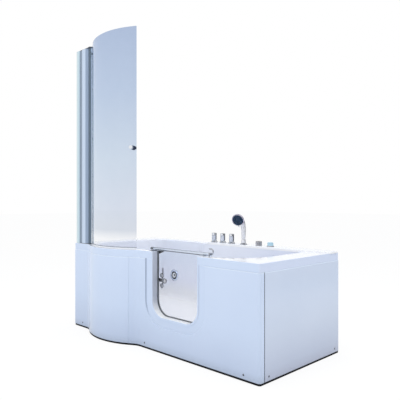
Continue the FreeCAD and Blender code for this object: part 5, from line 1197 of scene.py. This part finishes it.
# %% The hook at the rail's end
HOOK_RADIUS, HOOK_BEND, HOOK_TIP = 0.0036, 0.015, 0.012
AXIS_Y = (0, 1, 0)
curl = arc((x1, rail_z + HOOK_BEND), HOOK_BEND, -QUARTER, QUARTER, 28)
shaft = [(x1 - HOOK_SHAFT, rail_z), (x1 - HOOK_SHAFT / 2, rail_z)]
path = np.concatenate((shaft, curl, [(x1 - HOOK_TIP, rail_z + 2 * HOOK_BEND)]))
hook_path = np.stack((path[:, 0], np.full(len(path), rail_y), path[:, 1]), -1)
tip_turn = np.linspace(0, np.pi, 13)
tip_profile = HOOK_RADIUS * np.stack((np.sin(tip_turn), -np.cos(tip_turn)), -1)
hook = joined(tube(hook_path, HOOK_RADIUS, AXIS_Y), turned(tip_profile, hook_path[-1], AXIS_X, 32))
piece("latch_hook_bent", hook, "door_latch", "chrome", "latch_hook", finish="hinge_chrome")

# %% The clamps on the glass
DISC_THICK, BOLT_RADIUS, CLAMP_RADIUS, KNOB_RADIUS = 0.005, 0.004, 0.0125, 0.014
(x0, y0, z0), (x1, y1, z1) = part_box("hinge_discs")
clamps = [(x0 + CLAMP_RADIUS, z0 + CLAMP_RADIUS, CLAMP_RADIUS),
          (x0 + CLAMP_RADIUS, z1 - CLAMP_RADIUS, CLAMP_RADIUS),
          (x1 - KNOB_RADIUS, (z0 + z1) / 2, KNOB_RADIUS)]


def clamp_disc(x, z, radius):
    """A crowned disc with its bolt: the face, a groove round a cap, the rim and the shank behind."""
    profile = rounded([(0, 0.0), (0.55 * radius, 0.0), (0.58 * radius, 0.0008), (0.66 * radius, 0.0008),
                       (0.70 * radius, 0.0002), (0.94 * radius, 0.0012), (radius, 0.0024),
                       (radius, DISC_THICK), (BOLT_RADIUS, DISC_THICK), (BOLT_RADIUS, y1 - y0),
                       (0, y1 - y0)], 0.0008, 3)
    return turned(profile, (x, y0, z), AXIS_Y, 64)


def clamp_sleeve(x, z, radius):
    """A thin rubber ring round a disc's edge."""
    inside, outside = radius + 0.0001, radius + 0.0014
    section = [(inside, 0.0022), (outside, 0.0024), (outside, 0.0046), (inside, 0.0046)]
    return turned(rounded(section, 0.0004, 3), (x, y0, z), AXIS_Y, 64)


discs, sleeves = (joined(*(make(*clamp) for clamp in clamps)) for make in (clamp_disc, clamp_sleeve))
piece("hinge_clamp_discs", discs, "door", "chrome", "hinge_discs", finish="hinge_chrome")
piece("hinge_clamp_sleeves", sleeves, "door", "chrome", finish="black_rubber")

# %% [markdown]
# ## The taps on the ledge
# Three tall handles stand in flared flanges, beside the hand shower, a fluted air control and a push button.
# All are turned work, so each is a profile carried round its own upright axis; the flutes ripple the radius.

# %% The tap handles and flanges
HANDLE_RADIUS, HANDLE_NECK, HANDLE_HEIGHT = 0.0175, 0.0168, 0.061
TAPS = {"hot_handle": "hot_tap", "cold_handle": "cold_tap", "diverter_handle": "diverter"}
handle_foot = rounded([(0, 0), (HANDLE_NECK, 0), (HANDLE_NECK, 0.008), (HANDLE_RADIUS, 0.009),
                       (HANDLE_RADIUS, 0.0445)], 0.001, 3)
handle_top = rounded([(HANDLE_RADIUS, 0.0463), (HANDLE_RADIUS, HANDLE_HEIGHT), (0, HANDLE_HEIGHT)], 0.0035, 6)
handle_profile = np.concatenate((handle_foot, [(HANDLE_NECK, 0.0450), (HANDLE_NECK, 0.0458)], handle_top))
flange_section = rounded([(0.0174, 0), (0.024, 0), (0.024, 0.0015), (0.0185, 0.0105),
                          (0.0174, 0.0105)], 0.0012)
flanges = []
for node, body in TAPS.items():
    foot = (*middle_of(node)[:2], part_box(node)[0][2])
    piece(node + "_turned", turned(handle_profile, foot), body, "chrome", node)
    flanges.append(turned(flange_section, (*foot[:2], LEDGE)))
piece("tap_flanges_turned", joined(*flanges), "tub", "chrome", "tap_flanges", finish="hinge_chrome")

# %% The air control
FLUTES, FLUTE_DEPTH, FLUTED_RADIUS = 18, 0.075, 0.021
foot = (*middle_of("air_knob")[:2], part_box("air_knob")[0][2])


def fluted(angle, height):
    """1 on the ridges, less in the flutes, and none of it near the foot and on the top."""
    low = np.clip((height - 0.003) / 0.002, 0, 1) * np.clip((0.0265 - height) / 0.003, 0, 1)
    return 1 - FLUTE_DEPTH * low * np.maximum(np.cos(FLUTES * angle), -0.2)


ends = rounded([(0, 0), (0.0205, 0), (FLUTED_RADIUS, 0.003), (FLUTED_RADIUS, 0.026), (0.0185, 0.029),
                (0.0, 0.029)], 0.002, 5)
side = np.linspace((FLUTED_RADIUS, 0.004), (FLUTED_RADIUS, 0.0255), 12)
knob_profile = np.concatenate((ends[ends[:, 1] < 0.004], side, ends[ends[:, 1] > 0.0256]))
air_knob = turned(knob_profile, foot, around=288, ripple=fluted)
piece("air_knob_fluted", air_knob, "air_control", "chrome", "air_knob", finish="satin_chrome")

# %% The push button
(_, _, low), (_, _, high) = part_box("jet_button")
button_x, button_y, _ = middle_of("jet_button")
on_ledge, tall = (button_x, button_y, LEDGE), high - low
bezel_section = rounded([(0.0143, 0.003), (0.0205, 0.0), (0.0215, 0.002), (0.0202, 0.008), (0.0198, 0.0260),
                         (0.0143, 0.0260)], 0.0012)
bezel = turned(bezel_section, on_ledge)
piece("button_bezel_turned", bezel, "tub", "chrome", "button_bezel", finish="sky_blue")
button_profile = rounded([(0, 0), (0.014, 0), (0.014, tall), (0.004, tall - 0.0006),
                          (0, tall - 0.0008)], 0.002, 5)
button = turned(button_profile, (button_x, button_y, low))
piece("push_button", button, "jet_switch", "chrome", "jet_button", finish="sky_blue")
ring_section = rounded([(0.0150, 0.0), (0.0235, 0.0), (0.0235, 0.0015), (0.0205, 0.0065),
                        (0.0150, 0.0065)], 0.001)
piece("button_foot_ring", turned(ring_section, on_ledge), "tub", "chrome", finish="satin_chrome")

# %% [markdown]
# ## The hand shower
# It stands in a holder: a slim handle that widens towards the neck, and a round head with a dark spray face.
# The handle is a round bar along a bent path, the head is turned about the way it faces, and
# the spray face carries three rings of soft nozzles, each a small cone copied to its place.

# %% The holder of the hand shower
SOCKET_BORE, SOCKET_TOP = 0.0130, 0.0340
holder_foot = np.array((*middle_of("shower_holder")[:2], LEDGE))
holder_section = rounded([(SOCKET_BORE, -0.012), (0.0148, -0.012), (0.0148, 0.0), (0.0240, 0.0),
                          (0.0240, 0.0015), (0.0168, 0.0085), (SOCKET_BORE, 0.0085)], 0.0012)
holder_ring = turned(holder_section, holder_foot)
piece("shower_holder_turned", holder_ring, "tub", "chrome", "shower_holder", finish="hinge_chrome")
socket_section = rounded([(SOCKET_BORE, 0.0086), (0.0165, 0.0086), (0.0160, SOCKET_TOP),
                          (SOCKET_BORE, SOCKET_TOP)], 0.0012)
piece("shower_socket", turned(socket_section, holder_foot), "tub", "chrome", finish="pearl")

# %% The handle's path
HEAD_ASIDE, HEAD_AHEAD, HEAD_UP = -0.014, 0.042, 0.1683
GRIP_TOP, GRIP_RADIUS = 0.086, 0.0123
head = holder_foot + (HEAD_ASIDE, -HEAD_AHEAD, HEAD_UP)
lean = unit((HEAD_ASIDE, -HEAD_AHEAD, 0.0))
a, b, c, d = np.array([(0.0, 0.088), (0.0, 0.140), (0.010, 0.163), (0.036, 0.169)])
t = np.linspace(0, 1, 36)[:, None]
neck = (1 - t) ** 3 * a + 3 * t * (1 - t) ** 2 * b + 3 * t ** 2 * (1 - t) * c + t ** 3 * d
grip = np.linspace((0.0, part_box("hand_shower")[0][2] - LEDGE), (0.0, GRIP_TOP), 20)
ahead, height = np.concatenate((grip, neck)).T
handle_path = holder_foot + ahead[:, None] * lean + height[:, None] * (0, 0, 1)
widened = 0.0136 + 0.0062 * np.clip((height - SOCKET_TOP) / 0.12, 0, 1)
handle_radius = np.where(height < SOCKET_TOP, GRIP_RADIUS, widened)
handle = tube(handle_path, handle_radius, np.cross(lean, (0, 0, 1)), 48)
print("handle of", len(handle_path), "rings")

# %% The handle with its head
SHOWER_FACING = unit((0.335, -0.88, -0.34))
head_profile = rounded([(0, -0.0160), (0.024, -0.0160), (0.041, -0.0070), (0.044, 0.0), (0.044, 0.0070),
                        (0.0378, 0.0070), (0.0378, 0.0052), (0, 0.0052)], 0.004, 6)
down = np.array((0, 0, -1.0))
lever_profile = rounded([(0, 0.036), (0.0045, 0.036), (0.0045, 0.052), (0, 0.053)], 0.0018)
lever = turned(lever_profile, head + 0.001 * SHOWER_FACING, down - down @ SHOWER_FACING * SHOWER_FACING, 24)
shower_net = joined(handle, turned(head_profile, head, SHOWER_FACING), lever)
shower = piece("hand_shower_body", shower_net, "hand_shower", "chrome", "hand_shower", finish="pearl")
centre, _ = face_values(shower)
from_head = np.linalg.norm(centre - head, axis=1)
on_rim = (from_head > 0.030) & (from_head < 0.047)
# The upper part of the head's rim takes the lilac metal: a painted highlight.
more_finishes(shower, lilac=on_rim & (centre[:, 2] > head[2] - 0.030))


# %% The spray face and its nozzles
def copies(surface, places):
    """One small net copied to many places: its points plus each place."""
    points, faces = surface
    starts = np.arange(len(places))[:, None, None] * len(points)
    spread = (places[:, None] + points[None]).reshape(-1, 3)
    return spread, (np.array(faces)[None] + starts).reshape(-1, 4).tolist()


SPRAY_RINGS = {8: 0.0085, 16: 0.0175, 24: 0.0265}
side, other, _ = frame_of(SHOWER_FACING)
radius = np.repeat(list(SPRAY_RINGS.values()), list(SPRAY_RINGS))[:, None]
angle = np.concatenate([np.linspace(0, 2 * np.pi, n, endpoint=False) for n in SPRAY_RINGS])[:, None]
spots = head + radius * (np.cos(angle) * side + np.sin(angle) * other)
cone = [(0.0, 0.0080), (0.0016, 0.0080), (0.0011, 0.0105), (0.0, 0.0105)]
nozzle = turned(cone, (0, 0, 0), SHOWER_FACING, 10)
face_profile = rounded([(0, 0.0053), (0.0372, 0.0053), (0.0372, 0.0076), (0.0355, 0.0090), (0.030, 0.0086),
                        (0, 0.0082)], 0.001)
spray = joined(turned(face_profile, head, SHOWER_FACING), copies(nozzle, spots))
piece("spray_face", spray, "hand_shower", "navy_plastic", "shower_face")

# %% [markdown]
# ## The massage jets
# Each is a chrome ring on the wall, a black groove and a white nozzle with a dark throat; the groove and a
# disc in the throat are black as painted shade.
# The nozzle's hole lies off its centre, so that turning it aims the water.
# Ring and groove are turned; the nozzle's face is a net between two circles that don't share a centre.

# %% The rings and grooves
OUT_OF_WALL = (0, -1, 0)
ring_section = rounded([(0.0295, -0.006), (0.0295, 0.0045), (0.0320, 0.0060), (0.0385, 0.0060),
                        (0.0445, 0.0025), (0.0450, 0.0), (0.0320, 0.0), (0.0320, -0.006)], 0.0012)
groove_section = [(0.0204, -0.008), (0.0294, -0.008), (0.0294, 0.0030), (0.0204, 0.0018)]
rings, grooves = (joined(*(turned(section, place, OUT_OF_WALL) for place in jet_places))
                  for section in (ring_section, groove_section))
piece("jet_rings_turned", rings, "tub", "chrome", "jet_rings", finish="rail_chrome")
# The black groove is painted shade in the gap between ring and nozzle.
piece("jet_grooves", grooves, "tub", "black_rubber", finish="black_with_painted_shade")

# %% The nozzles and their throats
NOZZLE_RADIUS, JET_HOLE, HOLE_PLACE = 0.0200, 0.0092, (0.0060, 0, 0.0026)
JETS = ("jet_left", "jet_middle", "jet_right")


def circle(place, radius, ahead, count=64):
    """A ring of points on the wall's plane, so far ahead of it: place + radius * (cos a, 0, sin a)."""
    angle = np.linspace(0, 2 * np.pi, count, endpoint=False)
    return place + np.stack((radius * np.cos(angle), np.full(count, -ahead), radius * np.sin(angle)), -1)


def nozzle_surface(place, eye_place):
    """Back, side and dome of the nozzle, its face from rim to hole, and the hole's wall."""
    rim_steps = ((0.001, -0.008), (NOZZLE_RADIUS, -0.008), (NOZZLE_RADIUS, 0.003),
                 (NOZZLE_RADIUS - 0.0012, 0.0044))
    eye_steps = ((0.0108, 0.0066), (JET_HOLE, 0.0060), (JET_HOLE - 0.0008, -0.001))
    rim = np.stack([circle(place, *step) for step in rim_steps])
    eye = np.stack([circle(eye_place, *step) for step in eye_steps])
    face = rim[-1] + np.linspace(0, 1, 6)[1:-1, None, None] * (eye[0] - rim[-1])
    return stacked(np.concatenate((rim, face, eye)))


throat_profile = [(0, -0.0009), (JET_HOLE - 0.001, -0.0009), (JET_HOLE - 0.001, 0.0012), (0, 0.0004)]
for node, body, place in zip(JET_NODES, JETS, jet_places):
    eye_place = np.add(place, HOLE_PLACE)
    piece(node + "_cup", nozzle_surface(place, eye_place), body, "white_plastic", node)
    # The black disc just inside each hole is painted shade of the hole's depth.
    throat = turned(throat_profile, eye_place, OUT_OF_WALL, 40)
    piece(node + "_throat", throat, body, "white_plastic", finish="black_with_painted_shade")

# %% [markdown]
# ## The solids that stay
# Flat profiles, the frame, the pipes, the pump and the small fasteners have their right shape already.
# They keep their solids and only take a finish: the one that the record names, or for five of them another.
# Only the pane's raised edge may go beyond the solids.

# %% Finishes for the solids
OWN_FINISH = {"pivot_brackets": "seal_grey", "panel_screws": "seal_grey", "hinge_strap": "satin_chrome",
              "hinge_leaf": "satin_chrome", "latch_pin": "hinge_chrome"}
slots = {part["node"]: part["material_slot"] for part in frame["record"]["subparts"]}
for name, solid in nodes.items():
    solid.data.materials.clear()
    solid.data.materials.append(finishes[OWN_FINISH.get(name, slots[name])])
bpy.context.view_layer.update()
